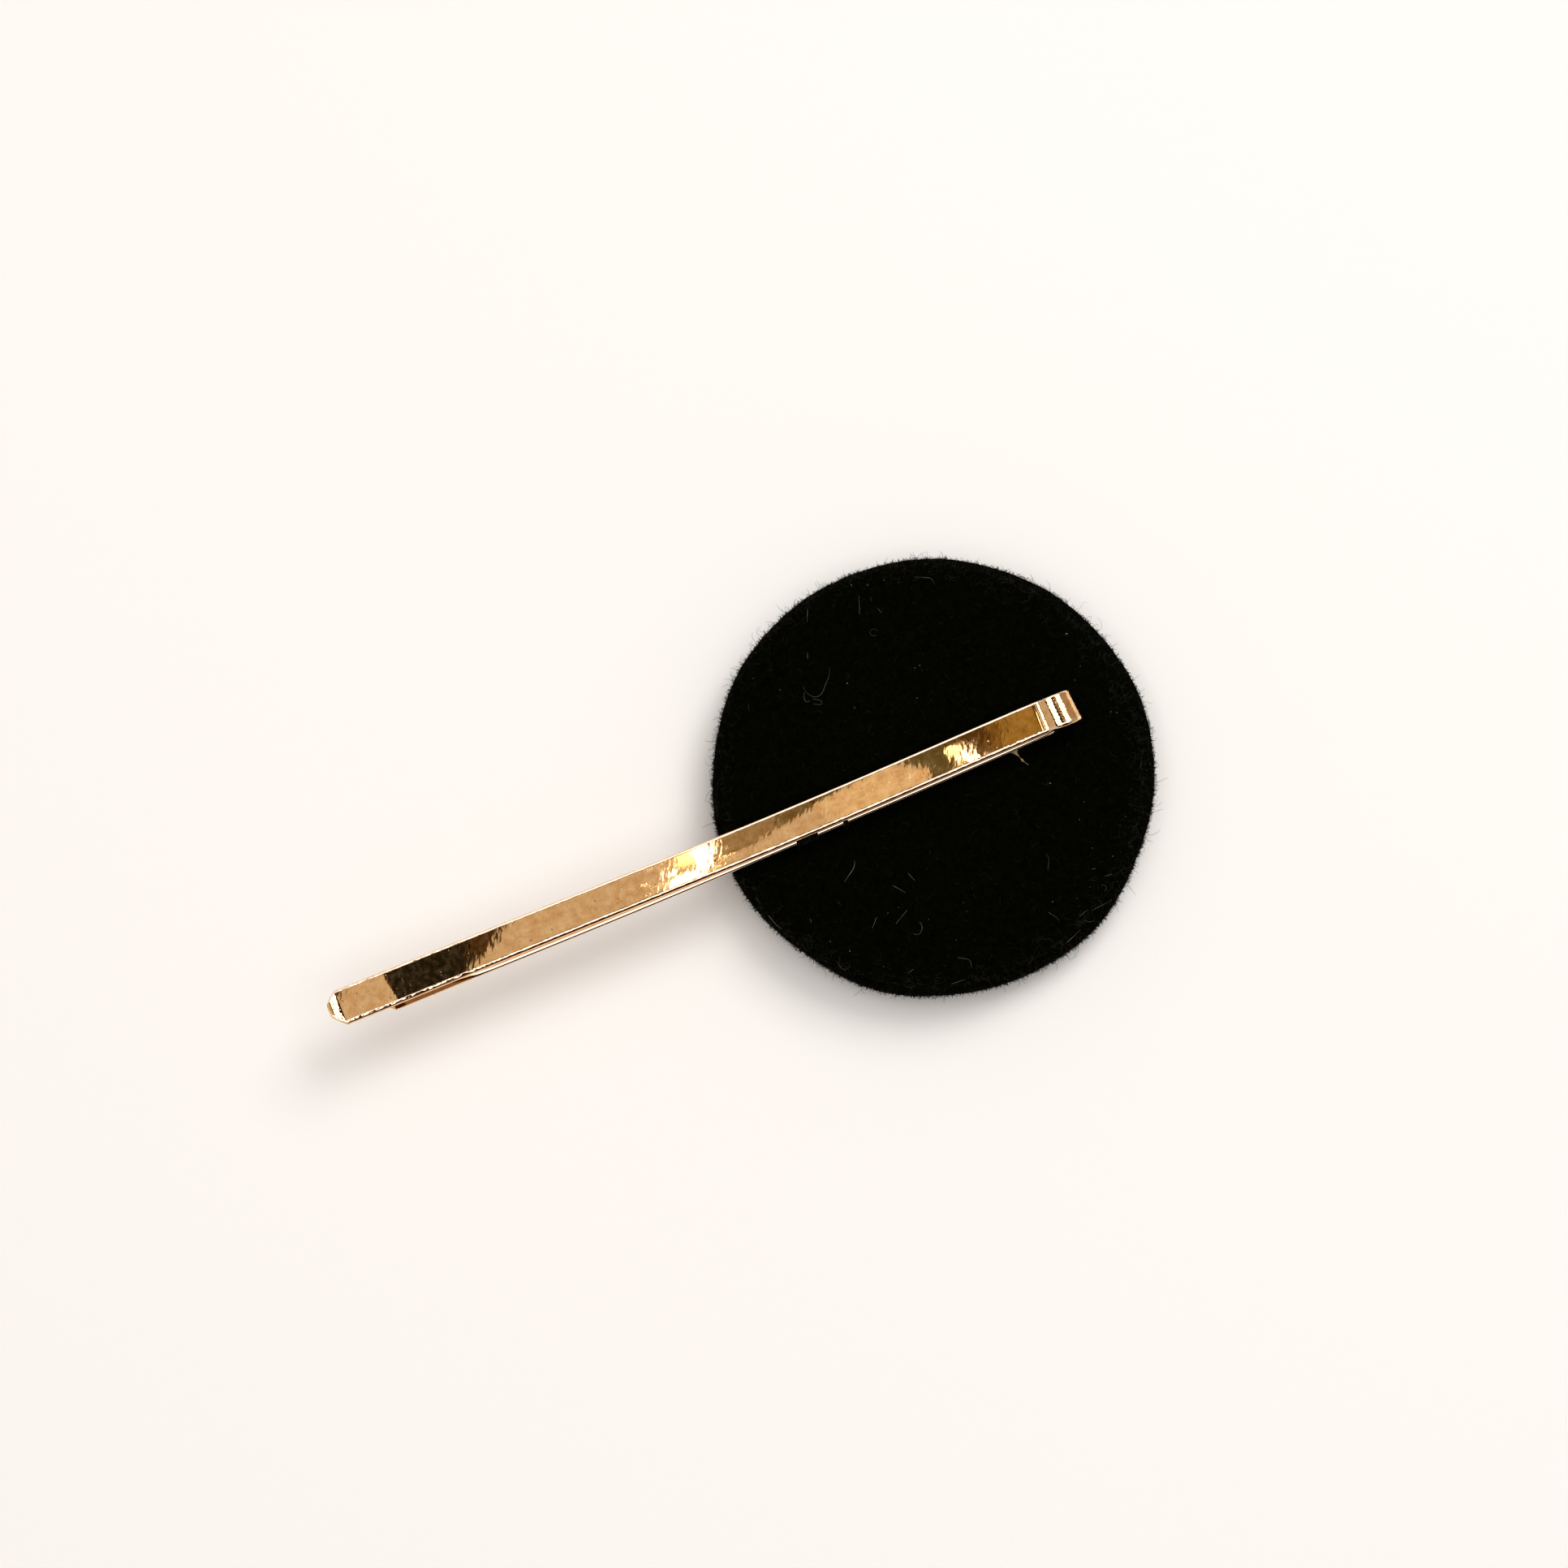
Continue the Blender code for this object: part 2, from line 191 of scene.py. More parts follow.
def gold_plate():
    """Gold-plated spring steel, rolled flat and electroplated.

    A warm mirror. Its skin is a few tenths of a micrometre wavy, which frays the edges of what it
    reflects, dust and fine pits in the plating sparkle, and the rolled edges ripple at the tips.
    """
    made, tree, shader, place = start_material("gold_plated_spring_steel", "strip")
    # The UV map is in millimetres: along the strip from the free tip, and round its section from
    # the middle of its outer face.
    parts = add_node(tree, "SeparateXYZ", {"Vector": place})
    along = parts.outputs["X"]
    from_middle = add_node(tree, "Math", {0: parts.outputs["Y"]}, operation="ABSOLUTE")

    # The rolled edges ripple, most near the free tip. The nose is ground by hand, wavier still.
    on_edge = add_node(tree, "MapRange", {"Value": from_middle, "From Min": 1.06, "From Max": 1.12})
    below_crest = add_node(
        tree,
        "MapRange",
        {"Value": from_middle, "From Min": 1.26, "From Max": 1.32, "To Min": 1.0, "To Max": 0.0},
    )
    near_tip = add_node(
        tree, "MapRange", {"Value": along, "From Min": 4.0, "From Max": 15.0, "To Min": 1.0, "To Max": 0.12}
    )
    on_crest = add_node(tree, "Math", {0: on_edge, 1: below_crest}, operation="MULTIPLY")
    rippling = add_node(tree, "Math", {0: on_crest, 1: near_tip}, operation="MULTIPLY")
    on_nose = add_node(
        tree, "MapRange", {"Value": along, "From Min": 0.92, "From Max": 1.04, "To Min": 0.16, "To Max": 0.0}
    )
    uneven = add_node(tree, "Math", {0: rippling, 1: on_nose}, operation="MAXIMUM")
    ripples = add_node(tree, "TexNoise", {"Vector": place, "Scale": 1.9, "Detail": 1.0})
    skin = add_node(tree, "Bump", {"Height": ripples, "Strength": uneven, "Distance": 0.35 * MM})

    # Slow swells, and fraying waves 0.3 mm across that lean over the strip
    swell = add_node(tree, "TexNoise", {"Vector": place, "Scale": 0.75, "Detail": 1.0})
    skin = add_node(tree, "Bump", {"Height": swell, "Distance": 2.0 * MICRON, "Normal": skin})
    leaning = add_node(
        tree,
        "Mapping",
        {"Vector": place, "Rotation": (0.0, 0.0, math.radians(58)), "Scale": (1.0, 0.5, 1.0)},
        vector_type="TEXTURE",
    )
    frayed = add_node(tree, "TexNoise", {"Vector": leaning, "Scale": 1.5, "Detail": 1.0})
    skin = add_node(tree, "Bump", {"Height": frayed, "Distance": 0.9 * MICRON, "Normal": skin})

    # A pit in every other cell of 0.45 mm
    pits = add_node(tree, "TexVoronoi", {"Vector": place, "Scale": 2.2})
    pit_depth = add_node(
        tree, "MapRange", {"Value": pits, "From Min": 0.02, "From Max": 0.13, "To Min": 1.0, "To Max": 0.0}
    )
    chance = add_node(tree, "SeparateColor", {"Color": pits.outputs["Color"]})
    sparse = add_node(tree, "Math", {0: chance, 1: 0.5}, operation="GREATER_THAN")
    pit = add_node(tree, "Math", {0: pit_depth, 1: sparse}, operation="MULTIPLY")
    skin = add_node(tree, "Bump", {"Height": pit, "Distance": 3.2 * MICRON, "Normal": skin}, invert=True)

    # Bending the strip into the eye has roughened its skin there.
    bend_grain = add_node(tree, "Mapping", {"Vector": place, "Scale": (3.0, 5.0, 1.0)})
    grain = add_node(tree, "TexNoise", {"Vector": bend_grain, "Scale": 1.0, "Detail": 1.0})
    in_eye = add_node(
        tree, "Math", {0: along, 1: EYE_STRETCH[0], 2: EYE_STRETCH[1]}, operation="COMPARE"
    )
    skin = add_node(
        tree, "Bump", {"Height": grain, "Strength": in_eye, "Distance": 18 * MICRON, "Normal": skin}
    )

    # Dust and fingers have left faint dull spots on the mirror, about 0.4 mm across.
    film = add_node(tree, "TexNoise", {"Vector": place, "Scale": 2.2, "Detail": 3.0, "Roughness": 0.6})
    mirror = add_node(
        tree, "MapRange", {"Value": film, "From Min": 0.46, "From Max": 0.72, "To Min": 1.0, "To Max": 0.95}
    )
    tarnish = add_node(tree, "TexNoise", {"Vector": place, "Scale": 1.1, "Detail": 4.0, "Roughness": 0.65})
    tone = add_node(tree, "ValToRGB", {"Fac": tarnish}, ((0.35, "E7B079"), (0.65, "FBCF9C")))
    matt = add_node(
        tree,
        "MapRange",
        {"Value": tarnish, "From Min": 0.3, "From Max": 0.7, "To Min": 0.016, "To Max": 0.03},
    )

    # Painted highlight: a pale colour along the crests of the rolled edges, so that their reflections show
    # as white lines. On the fixed leg the painted highlight covers its whole edge, up to its filed end.
    highlit_leg = add_node(
        tree, "Math", {0: along, 1: HIGHLIT_LEG_STRETCH[0], 2: HIGHLIT_LEG_STRETCH[1]}, operation="COMPARE"
    )
    pale = add_node(tree, "Math", {0: below_crest, 1: highlit_leg}, operation="MAXIMUM")
    crest = add_node(tree, "Math", {0: on_edge, 1: pale}, operation="MULTIPLY")
    painted_highlight = add_node(tree, "Mix", {"Factor": crest, 6: tone, 7: linear("F3DDC8")}, data_type="RGBA")
    set_inputs(shader, {"Base Color": painted_highlight, "Metallic": mirror, "Roughness": matt, "Normal": skin})
    return made


def wool_felt(name, dark, light):
    """Wool felt, dyed black and pressed: matted fibres without a weave, so it swallows nearly all
    light and shows its nap only where light grazes it."""
    made, tree, shader, place = start_material(name)
    # Matted tufts about 0.5 mm across, and single fibres drawn 0.1 mm wide so that they show.
    tufts = add_node(
        tree,
        "TexNoise",
        {"Vector": place, "Scale": 1900.0, "Detail": 4.0, "Roughness": 0.6, "Distortion": 1.2},
    )
    fibres = add_node(
        tree,
        "TexNoise",
        {"Vector": place, "Scale": 5200.0, "Detail": 3.0, "Roughness": 0.7, "Distortion": 3.5},
    )
    mixed = add_node(tree, "Mix", {"Factor": 0.45, 2: tufts, 3: fibres}, data_type="FLOAT")
    tone = add_node(tree, "ValToRGB", {"Fac": mixed}, ((0.40, dark), (0.62, light)))
    nap = add_node(tree, "Bump", {"Height": mixed, "Strength": 0.9, "Distance": 0.25 * MM})
    set_inputs(shader, {"Base Color": tone, "Normal": nap, "Roughness": 1.0, "Specular IOR Level": 0.0})
    set_inputs(shader, {"Sheen Weight": 0.015, "Sheen Roughness": 0.4, "Sheen Tint": linear("9C9A88")})
    return made


def fibre_fuzz(name, dark, light):
    """Loose wool fibres: dark, soft and slightly brown where light passes through them."""
    made, tree, shader, place = start_material(name)
    change = add_node(tree, "TexNoise", {"Vector": place, "Scale": 900.0, "Detail": 1.0})
    tone = add_node(tree, "ValToRGB", {"Fac": change}, ((0.35, dark), (0.65, light)))
    set_inputs(shader, {"Base Color": tone, "Roughness": 0.8, "Specular IOR Level": 0.05})
    return made


def sewing_thread():
    """Black polyester sewing thread, two plies twisted: a soft gloss on each ply."""
    made, tree, shader, place = start_material("black_sewing_thread", "thread")
    # The UV map runs in millimetres along the thread and once round it; a ply turns in 0.5 mm.
    lean = add_node(tree, "SeparateXYZ", {"Vector": place})
    turn = add_node(tree, "Math", {0: lean, 1: 2.0}, operation="MULTIPLY")
    phase = add_node(tree, "Math", {0: turn, 1: lean.outputs["Y"]}, operation="ADD")
    round_it = add_node(tree, "Math", {0: phase, 1: 2 * math.pi}, operation="MULTIPLY")
    ply = add_node(tree, "Math", {0: round_it}, operation="SINE")
    twist = add_node(tree, "Bump", {"Height": ply, "Strength": 0.8, "Distance": 0.04 * MM})
    # Painted shade: the colour follows the ply wave, darker in the grooves between the plies and lighter on
    # their crests.
    tone = add_node(tree, "ValToRGB", {"Fac": ply}, ((0.0, "040404"), (0.8, "0D0D0E")))
    set_inputs(shader, {"Base Color": tone, "Normal": twist, "Roughness": 0.7, "Specular IOR Level": 0.05})
    return made


def hot_melt_glue(name):
    """Hot-melt glue, squeezed out molten and set: cloudy, amber-white and glossy with soft dents."""
    made, tree, shader, place = start_material(name)
    cloud = add_node(tree, "TexNoise", {"Vector": place, "Scale": 600.0, "Detail": 3.0})
    dents = add_node(tree, "TexNoise", {"Vector": place, "Scale": 1500.0})
    tone = add_node(tree, "ValToRGB", {"Fac": cloud}, ((0.35, "A98052"), (0.65, "D9BC90")))
    skin = add_node(tree, "Bump", {"Height": dents, "Strength": 0.5, "Distance": 0.1 * MM})
    set_inputs(shader, {"Base Color": tone, "Normal": skin, "Roughness": 0.22, "IOR": 1.48})
    set_inputs(shader, {"Transmission Weight": 0.6})
    return made


def polyester_wadding():
    """Polyester wadding, a white web of crimped fibres: soft, matt and cloudy."""
    made, tree, shader, place = start_material("polyester_wadding")
    web = add_node(
        tree,
        "TexNoise",
        {"Vector": place, "Scale": 1500.0, "Detail": 5.0, "Roughness": 0.7, "Distortion": 2.5},
    )
    tone = add_node(tree, "ValToRGB", {"Fac": web}, ((0.35, "D8D5CC"), (0.65, "F2F0EA")))
    lofty = add_node(tree, "Bump", {"Height": web, "Strength": 0.8, "Distance": 0.4 * MM})
    set_inputs(shader, {"Base Color": tone, "Normal": lofty, "Roughness": 0.95, "Sheen Weight": 0.2})
    return made


def greyboard():
    """Greyboard pressed from waste paper: grey-brown with darker flecks of fibre."""
    made, tree, shader, place = start_material("greyboard")
    pulp = add_node(tree, "TexNoise", {"Vector": place, "Scale": 700.0, "Detail": 6.0, "Roughness": 0.7})
    flecks = add_node(tree, "TexVoronoi", {"Vector": place, "Scale": 1100.0})
    fleck = add_node(tree, "MapRange", {"Value": flecks, "From Min": 0.05, "From Max": 0.18})
    shade = add_node(tree, "Math", {0: pulp, 1: fleck}, operation="MULTIPLY")
    tone = add_node(tree, "ValToRGB", {"Fac": shade}, ((0.1, "6F6658"), (0.6, "A39A88")))
    rough = add_node(tree, "Bump", {"Height": pulp, "Strength": 0.4, "Distance": 0.1 * MM})
    set_inputs(shader, {"Base Color": tone, "Normal": rough, "Roughness": 0.9})
    return made


def mesh_of(name, bm):
    mesh = bpy.data.meshes.new(name)
    bm.to_mesh(mesh)
    bm.free()
    return mesh


def add_object(name, data):
    made = bpy.data.objects.new(name, data)
    bpy.context.scene.collection.objects.link(made)
    return made


def finish_piece(name, shape, material, body):
    """Make a mesh or a bmesh a smooth-shaded piece that rides on a body."""
    if isinstance(shape, bmesh.types.BMesh):
        shape = mesh_of(name, shape)
    shape.name = name
    shape.shade_smooth()
    shape.materials.clear()
    shape.materials.append(material)
    made = add_object(name, shape)
    if body:
        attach(made, body)
    return made


def eased(share):
    share = min(1.0, max(0.0, share))
    return share * share * (3.0 - 2.0 * share)


def evenly(start, end, steps):
    return [start + (end - start) * i / steps for i in range(steps + 1)]


def arc(centre, radius, start, end, steps):
    """Points on an arc in the XZ plane, with both ends."""
    return [
        Vector((centre[0] + radius * math.cos(angle), centre[1] + radius * math.sin(angle)))
        for angle in evenly(start, end, steps)
    ]


def bowed_z(x):
    """Centre line of the free leg before its flare: bowed a little away from the fixed leg."""
    along = (NECK_X - x) / (NECK_X - FIXED_LOW.x)
    return EYE_Z + LEG_SPREAD + LEG_BOW * math.sin(math.pi * along)


def free_leg_z(x):
    """Centre line of the free leg: bowed, then straight and flared past a soft bend."""
    past = FLARE_X - x
    soft = 0.35 * MM
    return bowed_z(x) + FLARE_SLOPE * 0.5 * (past + math.sqrt(past * past + soft * soft))


def sideways(curve, x):
    return float(np.polyval(curve, x / MM)) * MM


def pin_path():
    """Centre line of the strip, as (x, z), from the fixed leg's tip round the eye to the free tip."""
    nose = [NOSE_LENGTH * (1.0 - math.cos(math.pi / 2 * i / 12)) for i in range(12)]
    under = [FIXED_LOW.x + d for d in nose] + evenly(FIXED_LOW.x + NOSE_LENGTH, NECK_X - 0.4 * MM, 40)
    over = evenly(NECK_X - 0.4 * MM, FREE_LOW.x + NOSE_LENGTH + 0.02 * MM, 170)
    over += [FREE_LOW.x + NOSE_LENGTH] + [FREE_LOW.x + d for d in reversed(nose)]
    # Each neck bends by the slant of the straight line that leads on to the loop.
    rise = LEG_SPREAD + NECK_BEND
    slant = math.asin((EYE_RADIUS + NECK_BEND) / math.hypot(NECK_RUN, rise)) - math.atan2(rise, NECK_RUN)
    quarter = math.pi / 2
    below = arc((NECK_X, FIXED_Z - NECK_BEND), NECK_BEND, quarter, quarter - slant, 8)
    loop = arc((EYE_MIDDLE, EYE_Z), EYE_RADIUS, -quarter - slant, quarter + slant, 72)
    above = arc((NECK_X, EYE_Z + rise), NECK_BEND, slant - quarter, -quarter, 8)
    points = [Vector((x, FIXED_Z)) for x in under] + below + loop + above
    return points + [Vector((x, free_leg_z(x))) for x in over]


def strip_outline(half_width, outer, inner, edge_width, edge_depth, crown, filed=False):
    """Section of the strip as (across, out), from the middle of its inner face and back to it:
    nearly flat faces and edges rolled round, or filed flat."""
    flat = half_width - edge_width
    steps = 8
    right = []
    for height, turn in ((outer, 1), (-inner, -1)):
        depth = min(edge_depth, abs(height))
        corner = []
        for i in range(steps + 1):
            angle = math.pi / 2 * i / steps
            out = math.copysign(abs(height) - depth + depth * math.cos(angle), height)
            lip = crown * math.cos(angle) if height > 0 else 0.0
            across = flat + edge_width * math.sin(angle)
            if filed:
                across = flat + edge_width * i / steps
                out = math.copysign(abs(height) - depth * i / steps, height)
            corner.append((across, out - lip))
        right += corner if turn > 0 else corner[-2::-1]
    top = [(flat * f, outer - crown * f * f) for f in (0.97, 0.66, 0.33, 0.0, -0.33, -0.66, -0.97)]
    bottom = [(flat * f, -inner) for f in (0.0, -0.5, -0.97)]
    left = [(-across, out) for across, out in reversed(right)]
    return bottom + left + top[::-1] + right + [(-across, out) for across, out in bottom[:0:-1]]


def nose_sizes(distance, half_width):
    """Half width, outer and inner half thickness, sideways shift and sinking of the strip, at a
    distance from an end."""
    half = STRIP_THICKNESS / 2
    if distance >= NOSE_LENGTH:
        return half_width, half, half, 0.0, 0.0
    share = distance / NOSE_LENGTH
    left = 1.0 - share
    width = half_width * (NOSE_END_SHARE + (1 - NOSE_END_SHARE) * share**0.85)
    blunt = math.sqrt(max(0.0, 1.0 - (1.0 - min(1.0, share / 0.12)) ** 2))
    outer = half - NOSE_SLOPE * left - NOSE_ROUNDING * left**3
    inner = half - NOSE_SLOPE * left**2
    return (
        width * (0.72 + 0.28 * blunt),
        max(NOSE_LEAST, outer * blunt),
        max(NOSE_LEAST, inner * blunt),
        NOSE_SHIFT * left,
        NOSE_SINKING * left**3,
    )


def pin_sections(path, runs):
    """The strip's section at each point of its path, as a ring of places."""
    in_loop = [i for i, point in enumerate(path) if point.x > NECK_X]
    eye_start, eye_stop = in_loop[0], in_loop[-1]
    fixed_end, free_end = (sideways(curve, NECK_X) for curve in (FIXED_CURVE, FREE_CURVE))
    sections = []
    for i, point in enumerate(path):
        before, after = path[max(i - 1, 0)], path[min(i + 1, len(path) - 1)]
        tangent = (after - before).normalized()
        out = Vector((tangent.y, -tangent.x))
        turned = (runs[i] - runs[eye_start]) / (runs[eye_stop] - runs[eye_start])
        in_eye = math.sin(math.pi * min(1.0, max(0.0, turned))) ** 2
        half_width = STRIP_WIDTH / 2 - 0.02 * MM
        if turned <= 0.0:
            y = sideways(FIXED_CURVE, point.x)
        elif turned >= 1.0:
            y = sideways(FREE_CURVE, point.x)
            half_width += (TIP_WIDTH / 2 - half_width) * eased((WIDENING_X - point.x) / WIDENING_RUN)
        else:
            sway = LOWER_SWAY if turned < 0.5 else UPPER_SWAY
            y = fixed_end + (free_end - fixed_end) * eased(turned)
            y += sway * math.sin(2 * math.pi * turned) ** 2
        end_distance = min(runs[i], runs[-1] - runs[i])
        half_width, outer, inner, shift, sunk = nose_sizes(end_distance, half_width)
        # Only the free leg's nose is pressed down.
        sunk = sunk if turned > 0.5 else 0.0
        edge = min(EDGE_WIDTH, half_width * 0.6)
        filed = turned < 0.0 and point.x < FILED_X
        rounded = eased(1.0 if filed else 2 * turned)
        depth = FIXED_EDGE_DEPTH + (EDGE_DEPTH - FIXED_EDGE_DEPTH) * rounded
        ring = []
        for across, height in strip_outline(half_width, outer, inner, edge, depth, CROWN, filed):
            dip = SADDLE * in_eye * (1.0 - (across / half_width) ** 2) + EYE_TWIST * in_eye * across
            spot = point + out * (height - dip - sunk)
            if across > half_width - edge:
                across = half_width - (half_width - across) * UPPER_EDGE_SHARE
            elif across > 0.0:
                across *= (half_width - edge * UPPER_EDGE_SHARE) / (half_width - edge)
            ring.append(Vector((spot.x, y + shift + across, spot.y)))
        sections.append(ring)
    return sections


def make_pin(gold):
    """The whole strip as one skin: a flat grid wrapped round its section and along its path."""
    path = pin_path()
    runs = [0.0]
    for here, there in zip(path, path[1:]):
        runs.append(runs[-1] + (there - here).length)
    sections = pin_sections(path, runs)
    half = STRIP_THICKNESS / 2
    outline = strip_outline(STRIP_WIDTH / 2, half, half, EDGE_WIDTH, EDGE_DEPTH, CROWN)
    girths = [0.0]
    for here, there in zip(outline, outline[1:] + outline[:1]):
        girths.append(girths[-1] + math.dist(here, there))

    bm = bmesh.new()
    across_steps, along_steps = len(outline), len(path) - 1
    bmesh.ops.create_grid(
        bm, x_segments=along_steps, y_segments=across_steps, size=1.0, calc_uvs=False
    )
    uv = bm.loops.layers.uv.new("strip")
    grid = {}
    for vertex in bm.verts:
        i = round((vertex.co.x + 1) / 2 * along_steps)
        j = round((vertex.co.y + 1) / 2 * across_steps)
        grid[vertex] = (i, j)
    for face in bm.faces:
        for loop in face.loops:
            i, j = grid[loop.vert]
            loop[uv].uv = ((runs[-1] - runs[i]) / MM, (girths[j] - girths[-1] / 2) / MM)
    for vertex, (i, j) in grid.items():
        vertex.co = sections[i][j % across_steps]
    bmesh.ops.remove_doubles(bm, verts=bm.verts, dist=1e-9)
    bmesh.ops.holes_fill(bm, edges=[e for e in bm.edges if e.is_boundary], sides=0)
    bmesh.ops.recalc_face_normals(bm, faces=bm.faces)
    pin = finish_piece("pin_strip", bm, gold, None)
    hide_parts("fixed_leg", "spring_eye", "free_leg")
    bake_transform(pin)


def outline_wave(angle):
    """How far the hand-cut outline lies outside its circle at an angle, in metres."""
    return sum(
        height * MM * math.cos(waves * angle - math.radians(place))
        for waves, height, place in OUTLINE_WAVES
    )


def spun_felt(profile, steps):
    """Spin a closed profile of (radius, z) about the ornament's axis into a closed skin."""
    bm = bmesh.new()
    rim = [bm.verts.new((r, 0.0, z)) for r, z in profile]
    edges = [bm.edges.new((a, b)) for a, b in zip(rim, rim[1:])]
    bmesh.ops.spin(
        bm,
        geom=rim + edges,
        cent=(0.0, 0.0, 0.0),
        axis=(0.0, 0.0, 1.0),
        dvec=(0.0, 0.0, 0.0),
        angle=2 * math.pi,
        steps=steps,
        use_merge=True,
    )
    bmesh.ops.remove_doubles(bm, verts=bm.verts, dist=1e-6)
    bmesh.ops.recalc_face_normals(bm, faces=bm.faces)
    bm.normal_update()
    return bm


def smooth_run(points, spacing):
    """Points along a polyline at about even spacing, with its corners kept."""
    run = [points[0]]
    for here, there in zip(points, points[1:]):
        length = math.dist(here, there)
        steps = max(1, round(length / spacing))
        for i in range(1, steps + 1):
            run.append(tuple(a + (b - a) * (i / steps) for a, b in zip(here, there)))
    return run


def matted(bm, depth, size, keep_under=None, keep_over=None):
    """Move the skin in and out by soft noise, as pressed felt is uneven."""
    moves = []
    for vertex in bm.verts:
        spot = vertex.co / size
        swell = noise.noise(spot) + 0.5 * noise.noise(spot * 2.3 + Vector((7.0, 3.0, 5.0)))
        moves.append(vertex.co + vertex.normal * depth * swell)
    for vertex, spot in zip(bm.verts, moves):
        if keep_under is not None:
            spot.z = min(spot.z, keep_under)
        if keep_over is not None:
            spot.z = max(spot.z, keep_over)
        vertex.co = spot


def make_cover(felt):
    """The felt wrapped over the front: a shell with a rounded rim, its hem turned in at the back."""
    back_middle = (COVER_RADIUS - BACK_ROUND, COVER_TOP - BACK_ROUND)
    front_middle = (COVER_RADIUS - FRONT_ROUND, FRONT_ROUND)
    back = arc(back_middle, BACK_ROUND, math.pi / 2, 0.0, 10)
    front = arc(front_middle, FRONT_ROUND, 0.0, -math.pi / 2, 12)
    inner_front = arc(front_middle, FRONT_ROUND - FELT, -math.pi / 2, 0.0, 8)
    inner_back = arc(back_middle, BACK_ROUND - FELT, 0.0, math.pi / 2, 6)
    cut_middle = (HEM_OPENING + FELT / 2, COVER_TOP - FELT / 2)
    cut = arc(cut_middle, FELT / 2, -math.pi / 2, -3 * math.pi / 2, 6)
    outside = back + front + [(0.0, 0.0)]
    inside = [(0.0, FELT)] + inner_front + inner_back + cut + [back[0]]
    bm = spun_felt(smooth_run(outside, 0.4 * MM) + smooth_run(inside, 0.9 * MM), 360)
    for vertex in bm.verts:
        radius = math.hypot(vertex.co.x, vertex.co.y)
        if radius < 1e-6:
            continue
        angle = math.atan2(vertex.co.y, vertex.co.x)
        outer = eased((radius - 0.6 * COVER_RADIUS) / (0.4 * COVER_RADIUS))
        # The hem is eased in by shallow tucks, which fade out over the rim.
        tuck = math.sin(TUCKS * angle + 2.0 * math.sin(3 * angle))
        tuck *= eased((vertex.co.z - 2.6 * MM) / (1.6 * MM))
        grown = radius + outline_wave(angle) * outer
        vertex.co.x *= grown / radius
        vertex.co.y *= grown / radius
        vertex.co.z += HEM_TUCK * tuck * (1.0 - outer) - RIM_TUCK * tuck**2 * outer
    bm.normal_update()
    matted(bm, 0.05 * MM, 0.9 * MM, keep_under=COVER_TOP, keep_over=0.0)
    matted(bm, 0.03 * MM, 0.35 * MM, keep_under=COVER_TOP, keep_over=0.0)
    cover = finish_piece("felt_cover", bm, felt, "ornament")
    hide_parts("cover_felt")


def make_backing(felt):
    """The round felt glued over the hem: cut by hand, its edge slightly rounded and fuzzy."""
    low, high = BACKING_LOW.z, BACKING_HIGH.z
    soft = 0.34 * MM
    edge = arc((BACKING_RADIUS - soft, high - soft), soft, math.pi / 2, 0.0, 6)
    foot = arc((BACKING_RADIUS - 0.15 * MM, low + 0.15 * MM), 0.15 * MM, 0.0, -math.pi / 2, 3)
    bm = spun_felt(smooth_run([(0.0, high)] + edge + foot + [(0.0, low)], 0.42 * MM), 360)
    bmesh.ops.translate(bm, verts=bm.verts, vec=BACKING_CENTRE)
    for vertex in bm.verts:
        offset = Vector((vertex.co.x - BACKING_CENTRE.x, vertex.co.y - BACKING_CENTRE.y))
        if offset.length < 1e-6:
            continue
        angle = math.atan2(offset.y, offset.x)
        share = offset.length / BACKING_RADIUS
        round_it = Vector((9 * math.cos(angle), 9 * math.sin(angle), 1.7))
        cut = outline_wave(angle + 0.7) * 0.6 + 0.04 * MM * noise.noise(round_it)
        vertex.co.x += offset.x / offset.length * cut * share**4
        vertex.co.y += offset.y / offset.length * cut * share**4
        if vertex.co.z > high - soft:
            vertex.co.z -= 0.10 * MM * eased((share - 0.86) / 0.14)
    bm.normal_update()
    matted(bm, 0.04 * MM, 0.8 * MM, keep_under=high, keep_over=low)
    backing = finish_piece("felt_backing", bm, felt, "ornament")
    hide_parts("backing_felt")


def make_wadding(wadding):
    """The thin wadding between the card and the front: a lumpy disc with a feathered edge."""
    low, high = PADDING_LOW.z, PADDING_HIGH.z
    radius = PADDING_HIGH.x
    edge = arc((radius - 0.45 * MM, (low + high) / 2), 0.45 * MM, math.pi / 2, -math.pi / 2, 8)
    bm = spun_felt(smooth_run([(0.0, high)] + edge + [(0.0, low)], 0.6 * MM), 160)
    matted(bm, 0.09 * MM, 1.6 * MM, keep_under=high, keep_over=low)
    pad = finish_piece("wadding_pad", bm, wadding, "ornament")
    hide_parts("padding")


def curl(rng, start, heading, length, steps, turning, floor=-1.0):
    """A curled fibre's points: it bends steadily one way, and wanders a little."""
    points = [start.copy()]
    way = heading.normalized()
    axis = Vector((rng.gauss(0, 0.6), rng.gauss(0, 0.6), rng.choice((-1, 1)))).normalized()
    bend = turning * rng.uniform(0.2, 1.0) * length / steps
    for _ in range(steps):
        axis = (axis + Vector([rng.gauss(0, 0.15) for _ in range(3)])).normalized()
        way = Matrix.Rotation(bend * rng.uniform(0.6, 1.4), 3, axis) @ way
        spot = points[-1] + way * length / steps
        spot.z = max(spot.z, floor)
        points.append(spot)
    return points


